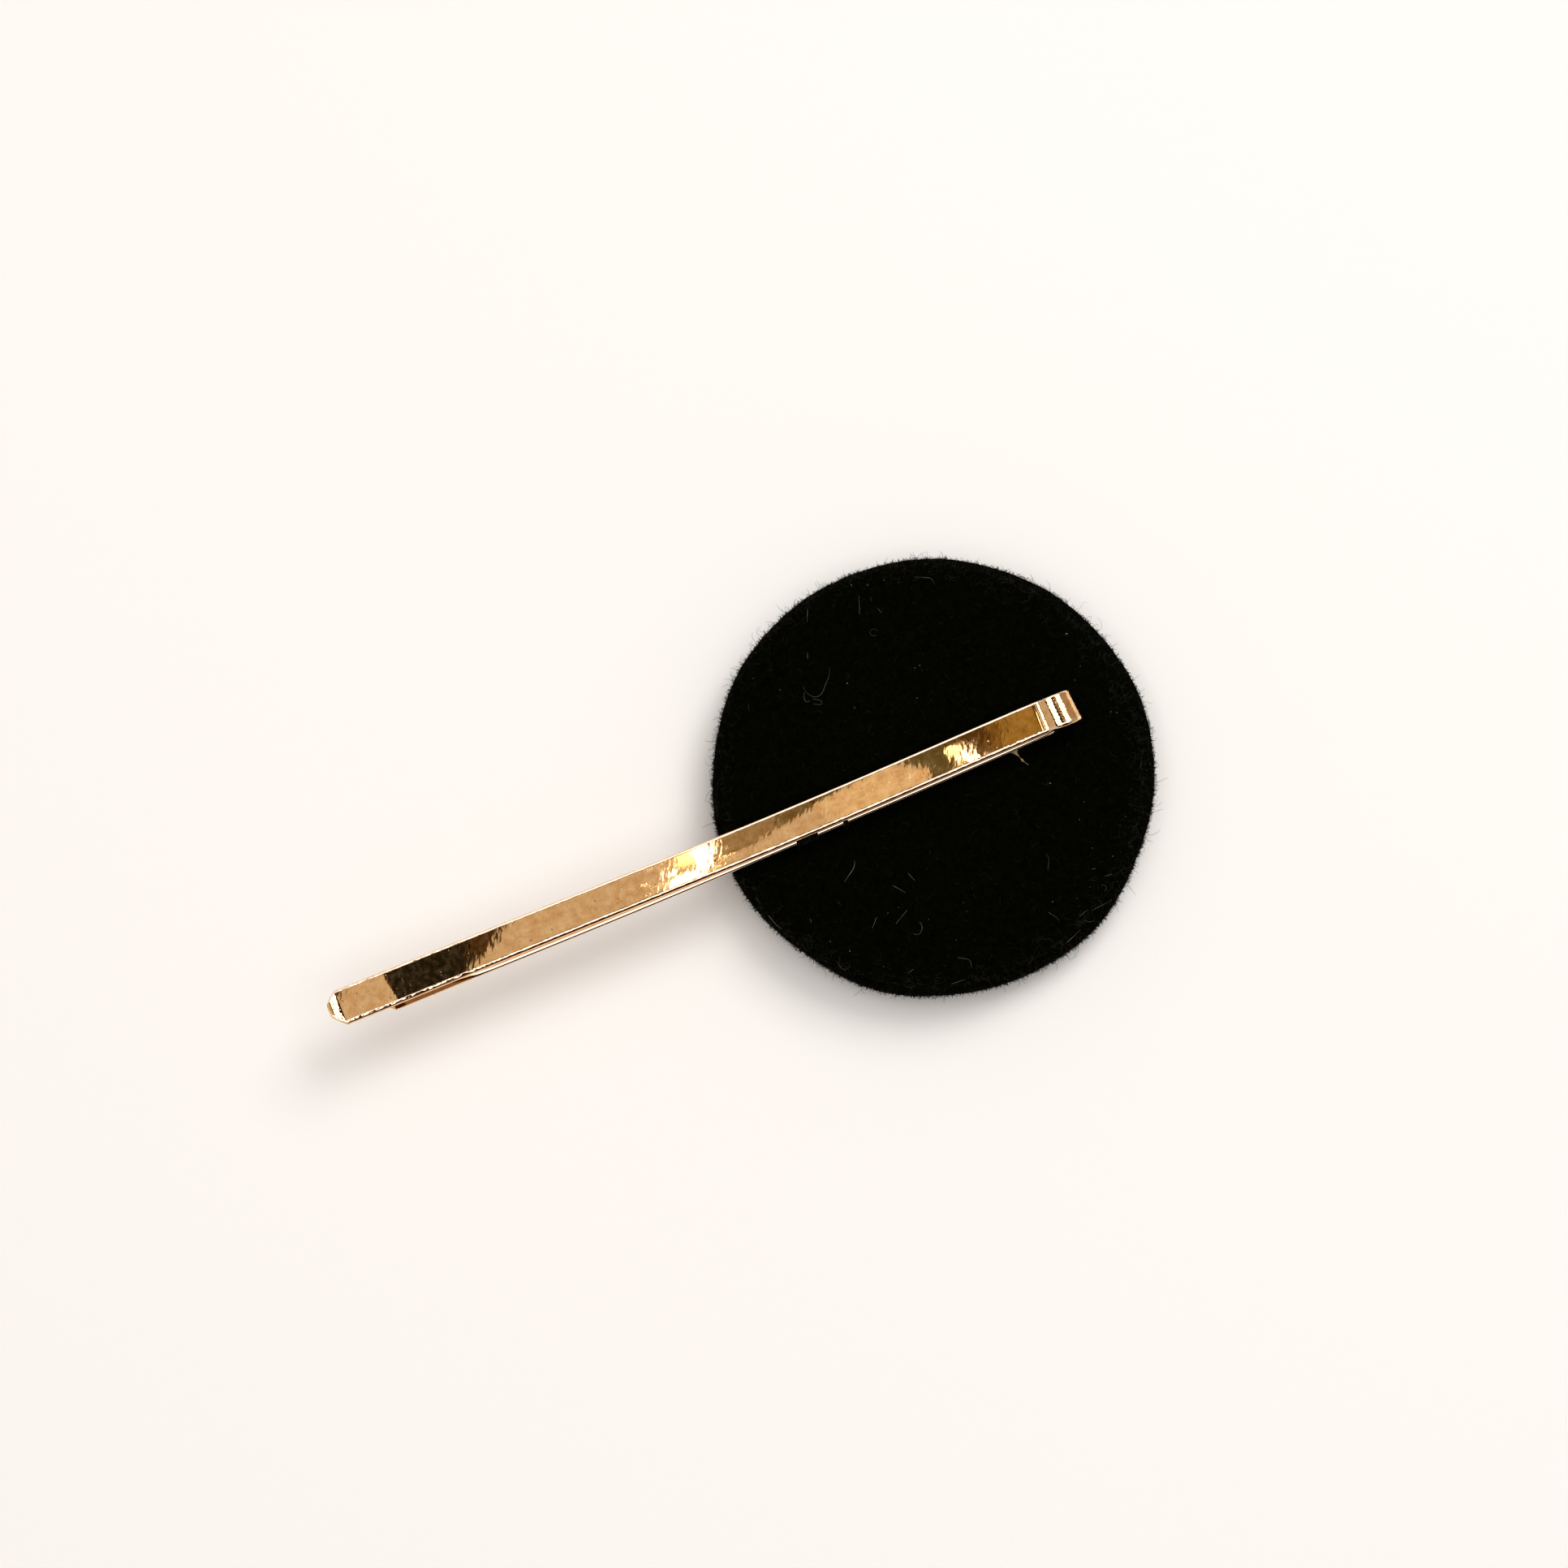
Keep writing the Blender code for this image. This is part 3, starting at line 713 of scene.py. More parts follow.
def tube_mesh(name, tubes, thickness, resolution, caps=False):
    """Thin round tubes as one mesh. Each is its points, and the share of the thickness at each."""
    curve = bpy.data.curves.new(name, "CURVE")
    curve.dimensions = "3D"
    curve.bevel_depth = thickness
    curve.bevel_resolution = resolution
    curve.use_fill_caps = caps
    for points, shares in tubes:
        line = curve.splines.new("POLY")
        line.points.add(len(points) - 1)
        for point, spot, share in zip(line.points, points, shares):
            point.co = (*spot, 1.0)
            point.radius = share
    holder = bpy.data.objects.new(name, curve)
    mesh = bpy.data.meshes.new_from_object(holder)
    bpy.data.objects.remove(holder)
    return mesh


def fibre_piece(name, fibres, material, resolution=0):
    """Fibres, each (points, radius), as one piece. Every fibre thins towards its ends."""
    tubes = []
    for points, radius in fibres:
        places = evenly(0.0, 1.0, len(points) - 1)
        bulge = [0.45 + 0.55 * math.sin(math.pi * (0.15 + 0.8 * place)) for place in places]
        tubes.append((points, [radius * share for share in bulge]))
    finish_piece(name, tube_mesh(name, tubes, 1.0, resolution), material, "ornament")


def rim_spot(angle, height):
    """A place on the cover's rounded rim, and the way that its skin faces."""
    out = Vector((math.cos(angle), math.sin(angle), 0.0))
    radius, face = COVER_RADIUS + outline_wave(angle), 0.0
    top, low = COVER_TOP - BACK_ROUND, FRONT_ROUND
    if height > top:
        face = math.asin(min(1.0, (height - top) / BACK_ROUND))
        radius -= BACK_ROUND * (1.0 - math.cos(face))
    elif height < low:
        face = -math.asin(min(1.0, (low - height) / FRONT_ROUND))
        radius -= FRONT_ROUND * (1.0 - math.cos(face))
    return out * radius + UP * height, out * math.cos(face) + UP * math.sin(face)


# How many wool fibres stand off each part of the felt
RIM_FIBRES = 1250
NAP_FIBRES = 6500
EDGE_FIBRES = 1500
FACE_FIBRES = 600
# No fibre of the face stands under the pin, this far from its middle line and along it.
PIN_MARGIN = 2.4 * MM
PIN_REACH = (-17.5 * MM, 13.5 * MM)


def make_fuzz(material):
    """Wool fibres that stand off the rim, and off the cut edge and the face of the backing."""
    rng = random.Random(SEED)
    rim, nap, face = [], [], []
    for _ in range(RIM_FIBRES):
        angle = rng.uniform(0, 2 * math.pi)
        spot, normal = rim_spot(angle, rng.uniform(0.25, 4.15) * MM)
        along = Vector((-math.sin(angle), math.cos(angle), 0.0))
        heading = normal * rng.uniform(0.1, 0.8) + along * rng.gauss(0, 0.8) + UP * rng.gauss(0, 0.3)
        length = rng.choice((0.45, 0.6, 0.8, 1.1, 1.5)) * rng.uniform(0.7, 1.2) * MM
        points = curl(rng, spot - normal * 0.05 * MM, heading, length, 8, 5200, 0.03 * MM)
        rim.append((points, rng.uniform(0.008, 0.012) * MM))
    for _ in range(NAP_FIBRES):
        angle = rng.uniform(0, 2 * math.pi)
        height = rng.choice((rng.uniform(1.2, 4.15), rng.uniform(1.8, 3.2))) * MM
        spot, normal = rim_spot(angle, height)
        along = Vector((-math.sin(angle), math.cos(angle), 0.0))
        heading = normal * rng.uniform(0.2, 1.0) + along * rng.gauss(0, 0.9) + UP * rng.gauss(0, 0.5)
        points = curl(rng, spot - normal * 0.06 * MM, heading, rng.uniform(0.18, 0.42) * MM, 3, 4500)
        nap.append((points, rng.uniform(0.014, 0.024) * MM))
    for _ in range(EDGE_FIBRES):
        angle = rng.uniform(0, 2 * math.pi)
        out = Vector((math.cos(angle), math.sin(angle), 0.0))
        along = Vector((-out.y, out.x, 0.0))
        spot = BACKING_CENTRE + out * (BACKING_RADIUS - rng.uniform(0.0, 1.3) ** 1.6 * MM)
        spot.z = BACK_FACE - rng.uniform(0.03, 0.25) * MM
        heading = out * rng.gauss(0.5, 0.5) + along * rng.gauss(0, 0.9) + UP * rng.uniform(0.0, 0.5)
        points = curl(rng, spot, heading, rng.uniform(0.35, 1.1) * MM, 6, 3000)
        face.append((points, rng.uniform(0.009, 0.013) * MM))
    for _ in range(FACE_FIBRES):
        angle = rng.uniform(0, 2 * math.pi)
        radius = BACKING_RADIUS * math.sqrt(rng.random()) * 0.95
        spot = Vector((math.cos(angle) * radius, math.sin(angle) * radius, BACK_FACE - 0.03 * MM))
        if abs(spot.y - PIN_Y) < PIN_MARGIN and PIN_REACH[0] < spot.x < PIN_REACH[1]:
            continue
        heading = Vector((rng.gauss(0, 1), rng.gauss(0, 1), rng.uniform(0.05, 0.4)))
        points = curl(rng, spot, heading, rng.uniform(0.3, 0.9) * MM, 6, 2500)
        for point in points:
            point.z = min(point.z, BACK_FACE + 0.25 * MM)
        face.append((points, 0.010 * MM))
    fibre_piece("rim_fuzz", rim, material)
    fibre_piece("rim_nap", nap, material)
    fibre_piece("face_fuzz", face, material)


# Pale lint caught in the backing's nap: places along each thread, in mm, brightest first
LONG_LINT = (
    ((-8.76, -4.28), (-8.98, -4.83), (-9.55, -5.17), (-10.23, -5.61)),
    ((5.89, -16.43), (5.2, -16.72), (4.54, -16.94)),
    ((-17.27, -4.12), (-17.09, -4.7), (-16.87, -5.72), (-16.7, -6.5), (-16.33, -7.15)),
    ((-4.55, 11.14), (-4.8, 10.52), (-5.42, 9.9), (-5.94, 9.32), (-6.56, 9.21), (-7.1, 9.8), (-7.11, 10.46)),
    ((-7.23, 10.0), (-7.52, 9.47), (-7.38, 9.12), (-7.06, 9.21)),
    ((-6.83, 9.25), (-6.15, 8.83), (-6.25, 8.58), (-6.54, 8.56), (-6.92, 8.86)),
    ((0.2, 12.43), (0.02, 12.73), (-0.33, 12.72), (-0.48, 12.4), (-0.3, 12.1), (0.02, 12.13)),
    ((4.74, 15.37), (6.06, 14.75), (5.97, 14.2)),
    ((-0.08, 15.68), (-0.3, 15.0), (-0.61, 14.23)),
    ((5.79, -9.8), (5.81, -10.25), (5.38, -10.93)),
    ((4.07, -14.18), (4.59, -14.96), (4.58, -15.17)),
    ((6.53, -15.76), (6.67, -16.11), (7.29, -16.15)),
    ((7.33, -15.38), (9.29, -15.12)),
    ((6.24, -15.43), (7.05, -15.2)),
    ((8.8, -13.77), (9.13, -13.84), (9.27, -14.18), (8.92, -14.33)),
    ((9.39, -13.23), (10.01, -13.27)),
    ((8.65, -12.28), (8.98, -12.35)),
    ((-5.85, -10.92), (-5.71, -11.27), (-6.0, -11.79), (-6.46, -11.88), (-6.69, -11.57)),
    ((-6.37, -9.63), (-7.65, -10.32)),
    ((-8.9, -9.23), (-9.56, -9.96)),
    ((-6.7, -7.36), (-5.96, -8.31)),
    ((-5.17, -6.92), (-4.91, -7.67)),
    ((-13.2, -11.37), (-13.19, -11.87), (-12.87, -12.29), (-12.36, -12.08)),
    ((-4.13, -14.77), (-3.22, -15.29), (-3.41, -15.93)),
    ((-5.58, -16.52), (-4.28, -16.63)),
    ((-8.3, -14.4), (-7.75, -14.27)),
    ((-11.32, -6.87), (-11.18, -7.21)),
    ((-13.91, -7.3), (-13.92, -7.65)),
    ((-11.79, 10.87), (-11.96, 10.29)),
    ((-5.73, 12.93), (-5.93, 12.44)),
    ((-4.34, 16.28), (-4.81, 15.24)),
    ((0.94, 14.17), (1.09, 13.67)),
    ((0.73, 15.2), (0.72, 14.84)),
)
SPECKS = (
    (-0.29, 16.72), (14.33, 6.3), (8.31, -4.53), (-3.72, 9.34), (0.93, 16.21), (2.31, 16.08),
    (-9.63, 14.55), (-10.63, 12.64), (1.06, 6.06), (1.83, 8.42), (2.27, 8.46), (-8.98, 10.94),
    (-3.94, 7.26), (14.32, 3.4), (13.45, 2.52), (15.16, -1.01), (15.56, -1.25), (9.32, -8.18),
    (10.26, -6.99), (10.64, -11.96), (12.89, -9.37), (4.71, -13.51), (6.63, -14.02), (7.96, -13.57),
    (9.39, -10.72), (10.23, -13.94), (-7.93, -9.28), (-6.96, -9.18), (-5.11, -11.02),
    (-3.69, -13.39), (-1.97, -10.82), (-2.01, -11.59), (-11.96, -10.96), (-13.11, -9.63),
    (-9.91, -13.16),
)


def rest_on_felt(x, y, lift):
    """A place just above the felt, on the backing's face or on the rim beyond it."""
    past = (Vector((x, y, 0.0)) - BACKING_CENTRE).length - BACKING_RADIUS + 0.3 * MM
    return Vector((x, y, BACK_FACE - max(0.0, past) * 1.1 + lift))


def make_lint(material):
    """Pale threads and specks of dust on the felt, such as black wool always catches."""
    rng = random.Random(SEED + 2)
    threads = []
    for i, route in enumerate(LONG_LINT):
        points = []
        for here, there in zip(route, route[1:]):
            steps = max(2, round(math.dist(here, there) / 0.25))
            for k in range(steps):
                x, y = (a + (b - a) * (k / steps) for a, b in zip(here, there))
                points.append(rest_on_felt(x * MM, y * MM, (0.05 + 0.03 * math.sin(k + i)) * MM))
        points.append(rest_on_felt(route[-1][0] * MM, route[-1][1] * MM, 0.03 * MM))
        for _ in range(2):
            points[1:-1] = [(a + b * 2 + c) / 4 for a, b, c in zip(points, points[1:], points[2:])]
        threads.append((points, (0.022 if i < 3 else 0.014) * MM))
    for i, (x, y) in enumerate(SPECKS):
        size = (0.16 if i < 4 else 0.10) * rng.uniform(0.8, 1.2) * MM
        spot = rest_on_felt(x * MM, y * MM, 0.05 * MM)
        way = Vector((rng.gauss(0, 1), rng.gauss(0, 1), rng.uniform(0.1, 0.5))).normalized()
        ends = [spot - way * size / 2, spot, spot + way * size / 2]
        threads.append((ends, size * rng.uniform(0.3, 0.42)))
    fibre_piece("lint", threads, material, 1)


# Beads of the glue's drop and string, in mm from a place on the fixed leg's edge: x, y, z, radius
# and flatness
GLUE_DROP_X = NECK_X - 2.85 * MM
GLUE_DROP = (
    (-0.08, 0.20, 0.0, 0.28, 0.8),
    (0.16, 0.15, 0.0, 0.28, 0.8),
    (0.10, -0.08, 0.0, 0.19, 0.9),
    (0.17, -0.22, 0.0, 0.13, 0.9),
    (0.23, -0.36, 0.0, 0.09, 1.0),
    (0.28, -0.49, -0.02, 0.065, 1.0),
    (0.32, -0.60, -0.05, 0.065, 1.0),
    (0.36, -0.71, -0.08, 0.09, 1.0),
    (0.39, -0.82, -0.09, 0.15, 1.0),
    (0.44, -0.93, -0.09, 0.08, 1.0),
    (0.50, -1.04, -0.09, 0.06, 1.0),
    (0.57, -1.15, -0.09, 0.055, 1.0),
    (0.64, -1.25, -0.08, 0.06, 1.0),
    (0.70, -1.34, -0.07, 0.05, 1.0),
)


def make_glue(glue):
    """Glue squeezed from under the fixed leg, with a drop and a beaded string beside it."""
    bm = bmesh.new()
    rng = random.Random(SEED + 1)
    bottom, top = GLUE_LOW.z, GLUE_HIGH.z
    middle, half = (bottom + top) / 2, (top - bottom) / 2
    steps = 46
    for i in range(steps + 1):
        share = i / steps
        x = GLUE_LOW.x + 0.6 * MM + (GLUE_HIGH.x - GLUE_LOW.x - 1.2 * MM) * share
        wide = (0.98 + 0.10 * math.sin(9.0 * share + 1.0) + rng.uniform(-0.05, 0.05)) * MM
        wide *= 0.75 + 0.25 * math.sin(math.pi * share)
        y = sideways(FIXED_CURVE, x) + rng.uniform(-0.05, 0.05) * MM
        place = Matrix.Translation((x, y, middle))
        size = Matrix.Diagonal((0.62 * MM, wide, half * 0.96, 1.0))
        bmesh.ops.create_icosphere(bm, subdivisions=2, radius=1.0, matrix=place @ size)
    edge_y = sideways(FIXED_CURVE, GLUE_DROP_X) - STRIP_WIDTH / 2
    for dx, dy, dz, r, flat in GLUE_DROP:
        place = Matrix.Translation((GLUE_DROP_X + dx * MM, edge_y + dy * MM, middle + dz * MM))
        size = Matrix.Diagonal((0.8 * r * MM, 0.8 * r * MM, min(r * flat * MM, half * 0.95), 1.0))
        bmesh.ops.create_icosphere(bm, subdivisions=2, radius=1.0, matrix=place @ size)
    bead = finish_piece("glue_line", bm, glue, "ornament")
    melted = bead.modifiers.new("melt", "REMESH")
    melted.mode = "VOXEL"
    melted.voxel_size = 0.045 * MM
    melted.use_smooth_shade = True
    soft = bead.modifiers.new("flow", "SMOOTH")
    soft.iterations = 3
    soft.factor = 0.5
    ready = bead.evaluated_get(bpy.context.evaluated_depsgraph_get())
    bead.data = bpy.data.meshes.new_from_object(ready)
    bead.modifiers.clear()
    bead.data.name = "glue_line"
    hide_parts("glue_bead")


def thread_route(centre_x, turns, pitch, foot_y):
    """One lashing: up out of the felt, round the fixed leg in tight turns, and down again."""
    middle_y = sideways(FIXED_CURVE, centre_x)
    half_w = STRIP_WIDTH / 2 + THREAD_RADIUS * 0.9
    half_h = STRIP_THICKNESS / 2 + THREAD_RADIUS * 1.05
    per_turn = 28
    steps = int(turns * per_turn)
    route = []
    start_x = centre_x - pitch * turns / 2
    for i in range(steps + 1):
        angle = math.pi * (1.0 - 2.0 * turns * i / steps)
        across = math.copysign(abs(math.cos(angle)) ** 0.35, math.cos(angle)) * half_w
        up = math.copysign(abs(math.sin(angle)) ** 0.5, math.sin(angle)) * half_h
        route.append(Vector((start_x + pitch * turns * i / steps, middle_y + across, FIXED_Z + up)))
    first, last = route[0], route[-1]
    sink = BACK_FACE - 0.15 * MM
    lead_in = [
        Vector((first.x - 0.05 * MM, first.y - foot_y, sink)),
        Vector((first.x, first.y - foot_y * 0.8, BACK_FACE + 0.12 * MM)),
        Vector((first.x, first.y - foot_y * 0.25, BACK_FACE + 0.6 * MM)),
    ]
    lead_out = [
        Vector((last.x, last.y + foot_y * 0.25, BACK_FACE + 0.6 * MM)),
        Vector((last.x, last.y + foot_y * 0.8, BACK_FACE + 0.12 * MM)),
        Vector((last.x + 0.05 * MM, last.y + foot_y, sink)),
    ]
    return lead_in + route + lead_out


def make_thread(material):
    """Black thread that lashes the fixed leg to the felt: five tight turns, and one loose turn."""
    routes = (
        thread_route(-11.65 * MM, 5.5, 0.31 * MM, 0.12 * MM),
        thread_route(-8.3 * MM, 1.5, 0.12 * MM, 0.08 * MM),
    )
    tubes = [(route, [1.0] * len(route)) for route in routes]
    mesh = tube_mesh("lashing", tubes, THREAD_RADIUS, 2, caps=True)
    bm = bmesh.new()
    bm.from_mesh(mesh)
    uv = bm.loops.layers.uv.new("thread")
    for face in bm.faces:
        for loop in face.loops:
            spot = loop.vert.co
            around = math.atan2(spot.z - FIXED_Z, spot.y)
            loop[uv].uv = (around * 1.2, spot.x / MM)
    bm.to_mesh(mesh)
    bm.free()
    thread = finish_piece("lashing", mesh, material, "ornament")
    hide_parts("thread_wrap")


# Camera: nearly straight above, 400 mm away, leaning towards the bottom of the picture
CAMERA_AZIMUTH = math.radians(-22.498)
CAMERA_HEIGHT = math.radians(81.111)
CAMERA_DISTANCE = 0.400
CAMERA_TARGET = Vector((-11.558, 3.859, 4.0)) * MM
CAMERA_LENS = 112.994
CAMERA_RIGHT = Vector((math.cos(CAMERA_AZIMUTH), math.sin(CAMERA_AZIMUTH), 0.0))
CAMERA_BACK = Vector(
    (
        math.sin(CAMERA_AZIMUTH) * math.cos(CAMERA_HEIGHT),
        -math.cos(CAMERA_AZIMUTH) * math.cos(CAMERA_HEIGHT),
        math.sin(CAMERA_HEIGHT),
    )
)
CAMERA_PLACE = CAMERA_TARGET + CAMERA_BACK * CAMERA_DISTANCE


def set_camera():
    data = bpy.data.cameras.new("camera")
    data.sensor_width = 36.0
    data.lens = CAMERA_LENS
    data.clip_start = 0.01
    data.clip_end = 10.0
    camera = add_object("camera", data)
    turn = Matrix((CAMERA_RIGHT, CAMERA_BACK.cross(CAMERA_RIGHT), CAMERA_BACK))
    camera.matrix_world = Matrix.Translation(CAMERA_PLACE) @ turn.transposed().to_4x4()
    bpy.context.scene.camera = camera


def set_lamp(name, azimuth, height, size, watts):
    """A square lamp a metre from the origin, turned to it."""
    data = bpy.data.lights.new(name, "AREA")
    data.size = size
    data.energy = watts
    lamp = add_object(name, data)
    a, h = math.radians(azimuth), math.radians(height)
    lamp.location = (math.cos(a) * math.cos(h), math.sin(a) * math.cos(h), math.sin(h))
    lamp.rotation_mode = "QUATERNION"
    lamp.rotation_quaternion = lamp.location.to_track_quat("Z", "Y")
    lamp.visible_glossy = False


def stage_object(name, bm, material):
    """A mesh that belongs to the room and not to the object."""
    made = add_object(name, mesh_of(name, bm))
    made.data.materials.append(material)
    return made


def hang_card(name, outline, height, code, strength=1.0):
    """A level card above the object that only shiny surfaces see, as a studio's dark and bright
    surfaces. Its outline is in mm."""
    made, tree, shader, place = start_material(name)
    tree.nodes.remove(shader)
    patchy = add_node(tree, "TexNoise", {"Vector": place, "Scale": 900.0, "Detail": 3.0, "Roughness": 0.6})
    power = add_node(tree, "MapRange", {"Value": patchy, "From Min": 0.35, "From Max": 0.65})
    set_inputs(power, {"To Min": 0.76 * strength, "To Max": 1.24 * strength})
    glow = add_node(tree, "Emission", {"Color": linear(code), "Strength": power})
    set_inputs(tree.nodes["Material Output"], {"Surface": glow})
    bm = bmesh.new()
    corners = [bm.verts.new((x * MM, y * MM, height * MM)) for x, y in outline]
    sides = [bm.edges.new((a, b)) for a, b in zip(corners, corners[1:] + corners[:1])]
    bmesh.ops.contextual_create(bm, geom=sides)
    card = stage_object(name, bm, made)
    for ray in ("camera", "diffuse", "shadow", "transmission", "volume_scatter"):
        setattr(card, "visible_" + ray, False)


def mirrored(x, across, height):
    """Where on a level plane the free leg's flat top mirrors towards the camera, in mm."""
    x, across = x * MM, across * MM
    flat = STRIP_WIDTH / 2 - EDGE_WIDTH
    slope = (bowed_z(x + MM) - bowed_z(x - MM)) / (2 * MM)
    place = Vector((x, sideways(FREE_CURVE, x) + across, bowed_z(x) + STRIP_THICKNESS / 2))
    normal = Vector((-slope, 2 * CROWN * across / flat**2, 1.0)).normalized()
    way = (place - CAMERA_PLACE).normalized().reflect(normal)
    spot = place + way * (height * MM - place.z) / way.z
    return spot.x / MM, spot.y / MM


def frame_corners(x0, x1, y0, y1):
    return ((x0, y0), (x1, y0), (x1, y1), (x0, y1))


# What the flat top mirrors, as outlines on it: mm along the pin and across it, colour, brightness
MIRRORED_CARDS = (
    ("mottled", "4A3820", 1.0, (
        (-41.6, -1.5), (-40.6, -0.95), (-38.6, -0.06), (-37.4, 0.73), (-35.8, 1.6), (-42, 1.6))),
    ("dark_patch", "1F1F16", 1.0, (
        (-47.1, 1.6), (-47.0, 0.9), (-46.6, 0.16), (-46.8, -0.6), (-47.0, -1.6), (-41.3, -1.6),
        (-40.6, -0.7), (-40.2, 0.2), (-40.0, 1.6))),
    ("olive", "766C4A", 1.0, (
        (-16.6, 1.6), (-4.1, 1.5), (-6.4, 1.0), (-9.7, 0.68), (-11.2, 0.44), (-13.0, 0.26),
        (-14.7, -0.06), (-15.8, -0.32), (-16.6, -0.38))),
    ("olive_upper", "9E9276", 1.0, (
        (-19.4, 1.6), (-13.6, 1.6), (-13.3, 0.3), (-15.2, 0.0), (-16.8, -0.4), (-19.2, -0.6))),
    ("olive_brown", "54462A", 1.0, (
        (-10.8, 1.6), (-4.4, 1.5), (-6.4, 1.08), (-9.7, 0.8), (-10.8, 0.75))),
    ("lit_tan", "E8DDC2", 1.0, (
        (-10.6, 0.6), (-8.0, 0.84), (-6.4, 1.0), (-4.1, 1.5), (-2.9, 1.5), (-2.2, 0.83),
        (-1.3, 0.35), (-0.7, -0.25), (-0.5, -0.79), (-0.7, -1.7), (-10.6, -1.7), (-9.3, -0.71))),
    ("dark_olive", "5E5C3E", 1.0, (
        (-3.0, 1.6), (1.7, 1.6), (1.9, -0.32), (1.7, -1.7), (-0.7, -1.7), (-0.5, -0.79),
        (-0.7, -0.25), (-1.3, 0.35), (-2.2, 0.83))),
    ("brown", "503C1C", 1.0, ((1.6, 1.6), (6.8, 1.6), (6.4, -1.7), (1.6, -1.7))),
    ("brown_gold", "7A622E", 1.0, ((4.9, 1.6), (6.8, 1.6), (6.4, -1.7), (4.4, -1.7))),
    ("gold_brown", "A18948", 1.0, ((6.4, 1.7), (9.9, 1.7), (9.9, -1.7), (5.9, -1.7))),
    ("glint_low", "FFF2C0", 2.4, (
        (-22.2, 1.6), (-19.6, 1.6), (-19.9, 0.5), (-20.5, 0.18), (-21.7, 0.06), (-22.4, 0.33))),
    ("glint", "FFFBEE", 6.0, (
        (-20.8, 1.6), (-19.2, 1.6), (-18.8, 0.69), (-18.9, 0.17), (-19.4, -0.09), (-19.8, -0.62),
        (-20.5, -1.6), (-23.8, -1.6), (-23.7, -0.72), (-22.9, -0.43), (-21.2, -0.34), (-20.7, -0.21))),
    ("glint_blob", "FFFBEE", 6.0, (
        (-23.3, 0.27), (-22.9, 0.4), (-22.6, 0.07), (-22.7, -0.26), (-23.2, -0.19), (-23.4, 0.01))),
    ("glint_hole", "9A8460", 1.0, (
        (-20.5, -0.68), (-20.2, -0.58), (-20.0, -0.81), (-20.2, -1.01), (-20.5, -0.94))),
    ("small_glint_left", "FFF3C8", 3.5, (
        (1.4, 0.55), (1.9, 0.67), (2.5, 0.52), (2.6, 0.12), (2.3, -0.33), (2.0, -0.85),
        (1.9, -1.24), (1.8, -0.98), (1.9, -0.32), (1.6, 0.15))),
    ("small_glint", "FFFBEE", 6.0, (
        (2.5, -0.2), (2.5, 0.19), (2.7, 0.45), (2.9, 0.11), (3.1, -0.28), (3.5, -0.69),
        (3.8, -1.03), (3.8, -1.5), (2.9, -1.5), (2.5, -0.8), (2.3, -0.33))),
)
GLINT_SPECKS = 30


def set_reflectors():
    """What the gold mirrors: a bright ceiling with a dull panel in it, and on that panel dark and
    bright patches. They hang where the strip mirrors them to the camera."""
    hang_card("dark_wall", frame_corners(-693, 313, -2500, -204), 402, "3A1E10")
    hang_card("brown_wall", frame_corners(-240, -60, -1600, -600), 401.8, "86705C")
    hang_card("shadowed_corner", frame_corners(-693, -483, -204, 530), 402, "1A0E08")
    hang_card("peach_wall", frame_corners(-6000, -693, -2500, 2500), 402, "CCC6B4")
    hang_card("tan_wall", frame_corners(313, 6000, -2500, 2500), 402, "AC9C86")
    hang_card("ceiling", frame_corners(-483, 313, -204, 2500), 402, "FFFCF6", 1.7)
    hang_card("bright_ceiling", frame_corners(-483, 313, 5, 110), 401.5, "FFFCF6", 6.0)
    hang_card("panel_rim", frame_corners(-127, 70, -5, 138), 401, "4A3018")
    hang_card("panel", frame_corners(-127, 70, 36, 78), 400, "D4CBB8")
    hang_card("panel_end", frame_corners(-140, -73, -5, 138), 399.8, "24150A")
    for i, (name, code, strength, outline) in enumerate(MIRRORED_CARDS):
        height = 399.5 - 0.25 * i
        spots = [mirrored(x, across, height) for x, across in outline]
        hang_card(name, spots, height, code, strength)
    # Bright specks that lie scattered round the large glint, on both sides of it
    rng = random.Random(SEED + 3)
    height = 395.0
    for i in range(GLINT_SPECKS):
        x, across = rng.gauss(-20.8, 2.4), rng.uniform(-1.0, 1.2)
        size = rng.uniform(0.05, 0.11)
        corners = frame_corners(x - size, x + size, across - size, across + size)
        spots = [mirrored(x, across, height) for x, across in corners]
        hang_card(f"speck_{i}", spots, height, "FFF6DC", 5.0)


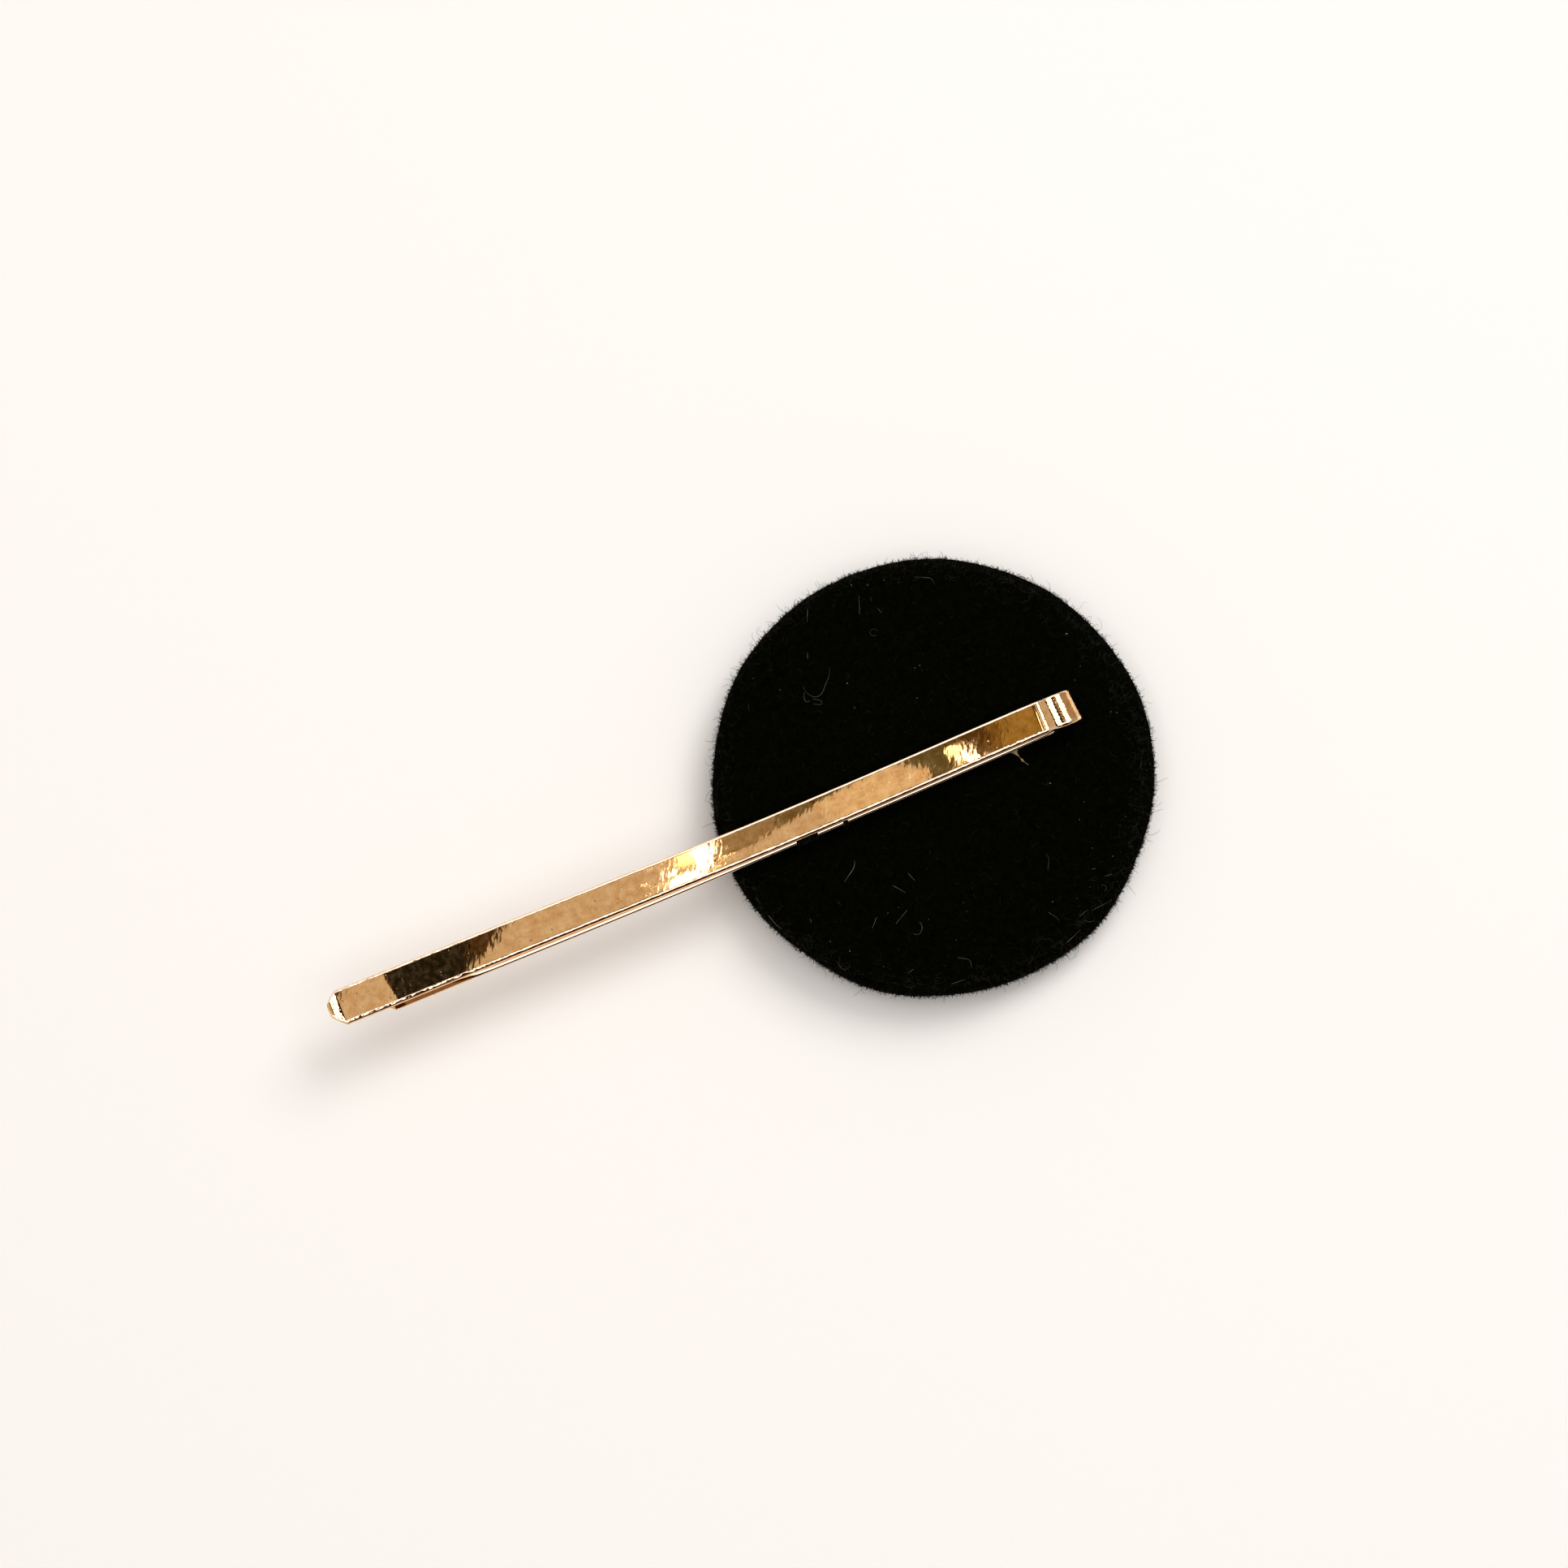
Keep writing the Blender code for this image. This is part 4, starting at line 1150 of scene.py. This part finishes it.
def set_room():
    """An even studio: soft light from all round and above, and one large lamp from the picture's
    upper right."""
    world = bpy.data.worlds.new("studio")
    bpy.context.scene.world = world
    world.use_nodes = True
    tree = world.node_tree
    # The camera and the metal see the room as a white backdrop, brighter than the light it sheds.
    seen = add_node(tree, "LightPath")
    mirrored_room = add_node(tree, "Math", {0: seen.outputs["Is Glossy Ray"], 1: 0.65}, operation="MULTIPLY")
    backdrop = add_node(
        tree, "Math", {0: seen.outputs["Is Camera Ray"], 1: mirrored_room}, operation="MAXIMUM"
    )
    power = add_node(tree, "MapRange", {"Value": backdrop, "To Min": 0.32, "To Max": 1.0})
    set_inputs(tree.nodes["Background"], {"Color": linear("FFFCF8"), "Strength": power})
    set_lamp("overhead_lamp", 0, 90, 1.2, 6.0)
    set_lamp("key_lamp", 32, 52, 0.50, 3.9)

    # A smooth pale table: plain, warm white and matt. It shows from above only, so that a view from
    # below looks through it at the ornament's front.
    made, tree, shader, _ = start_material("white_table")
    set_inputs(shader, {"Base Color": linear("FDF8F3"), "Roughness": 0.7, "Specular IOR Level": 0.1})
    side = add_node(tree, "NewGeometry")
    clear = add_node(tree, "BsdfTransparent")
    one_sided = add_node(tree, "MixShader", {0: side.outputs["Backfacing"], 1: shader, 2: clear})
    set_inputs(tree.nodes["Material Output"], {"Surface": one_sided})
    bm = bmesh.new()
    bmesh.ops.create_grid(bm, x_segments=1, y_segments=1, size=2.0)
    table = stage_object("table", bm, made)
    table.location.z = -0.02 * MM


bpy.context.scene.view_settings.view_transform = "Standard"
set_camera()
set_room()
set_reflectors()

gold = gold_plate()
felt = wool_felt("black_wool_felt", "020300", "090B04")
make_pin(gold)
make_cover(felt)
make_backing(felt)
make_wadding(polyester_wadding())
make_fuzz(fibre_fuzz("black_wool_fibre", "13110E", "2A2622"))
make_lint(fibre_fuzz("grey_lint", "3A3834", "6A6761"))
make_glue(hot_melt_glue("hot_melt_glue"))
make_thread(sewing_thread())

for node, material in (("core_disc", greyboard()), ("back_glue", hot_melt_glue("set_glue"))):
    slots = frame["nodes"][node].data.materials
    slots.clear()
    slots.append(material)
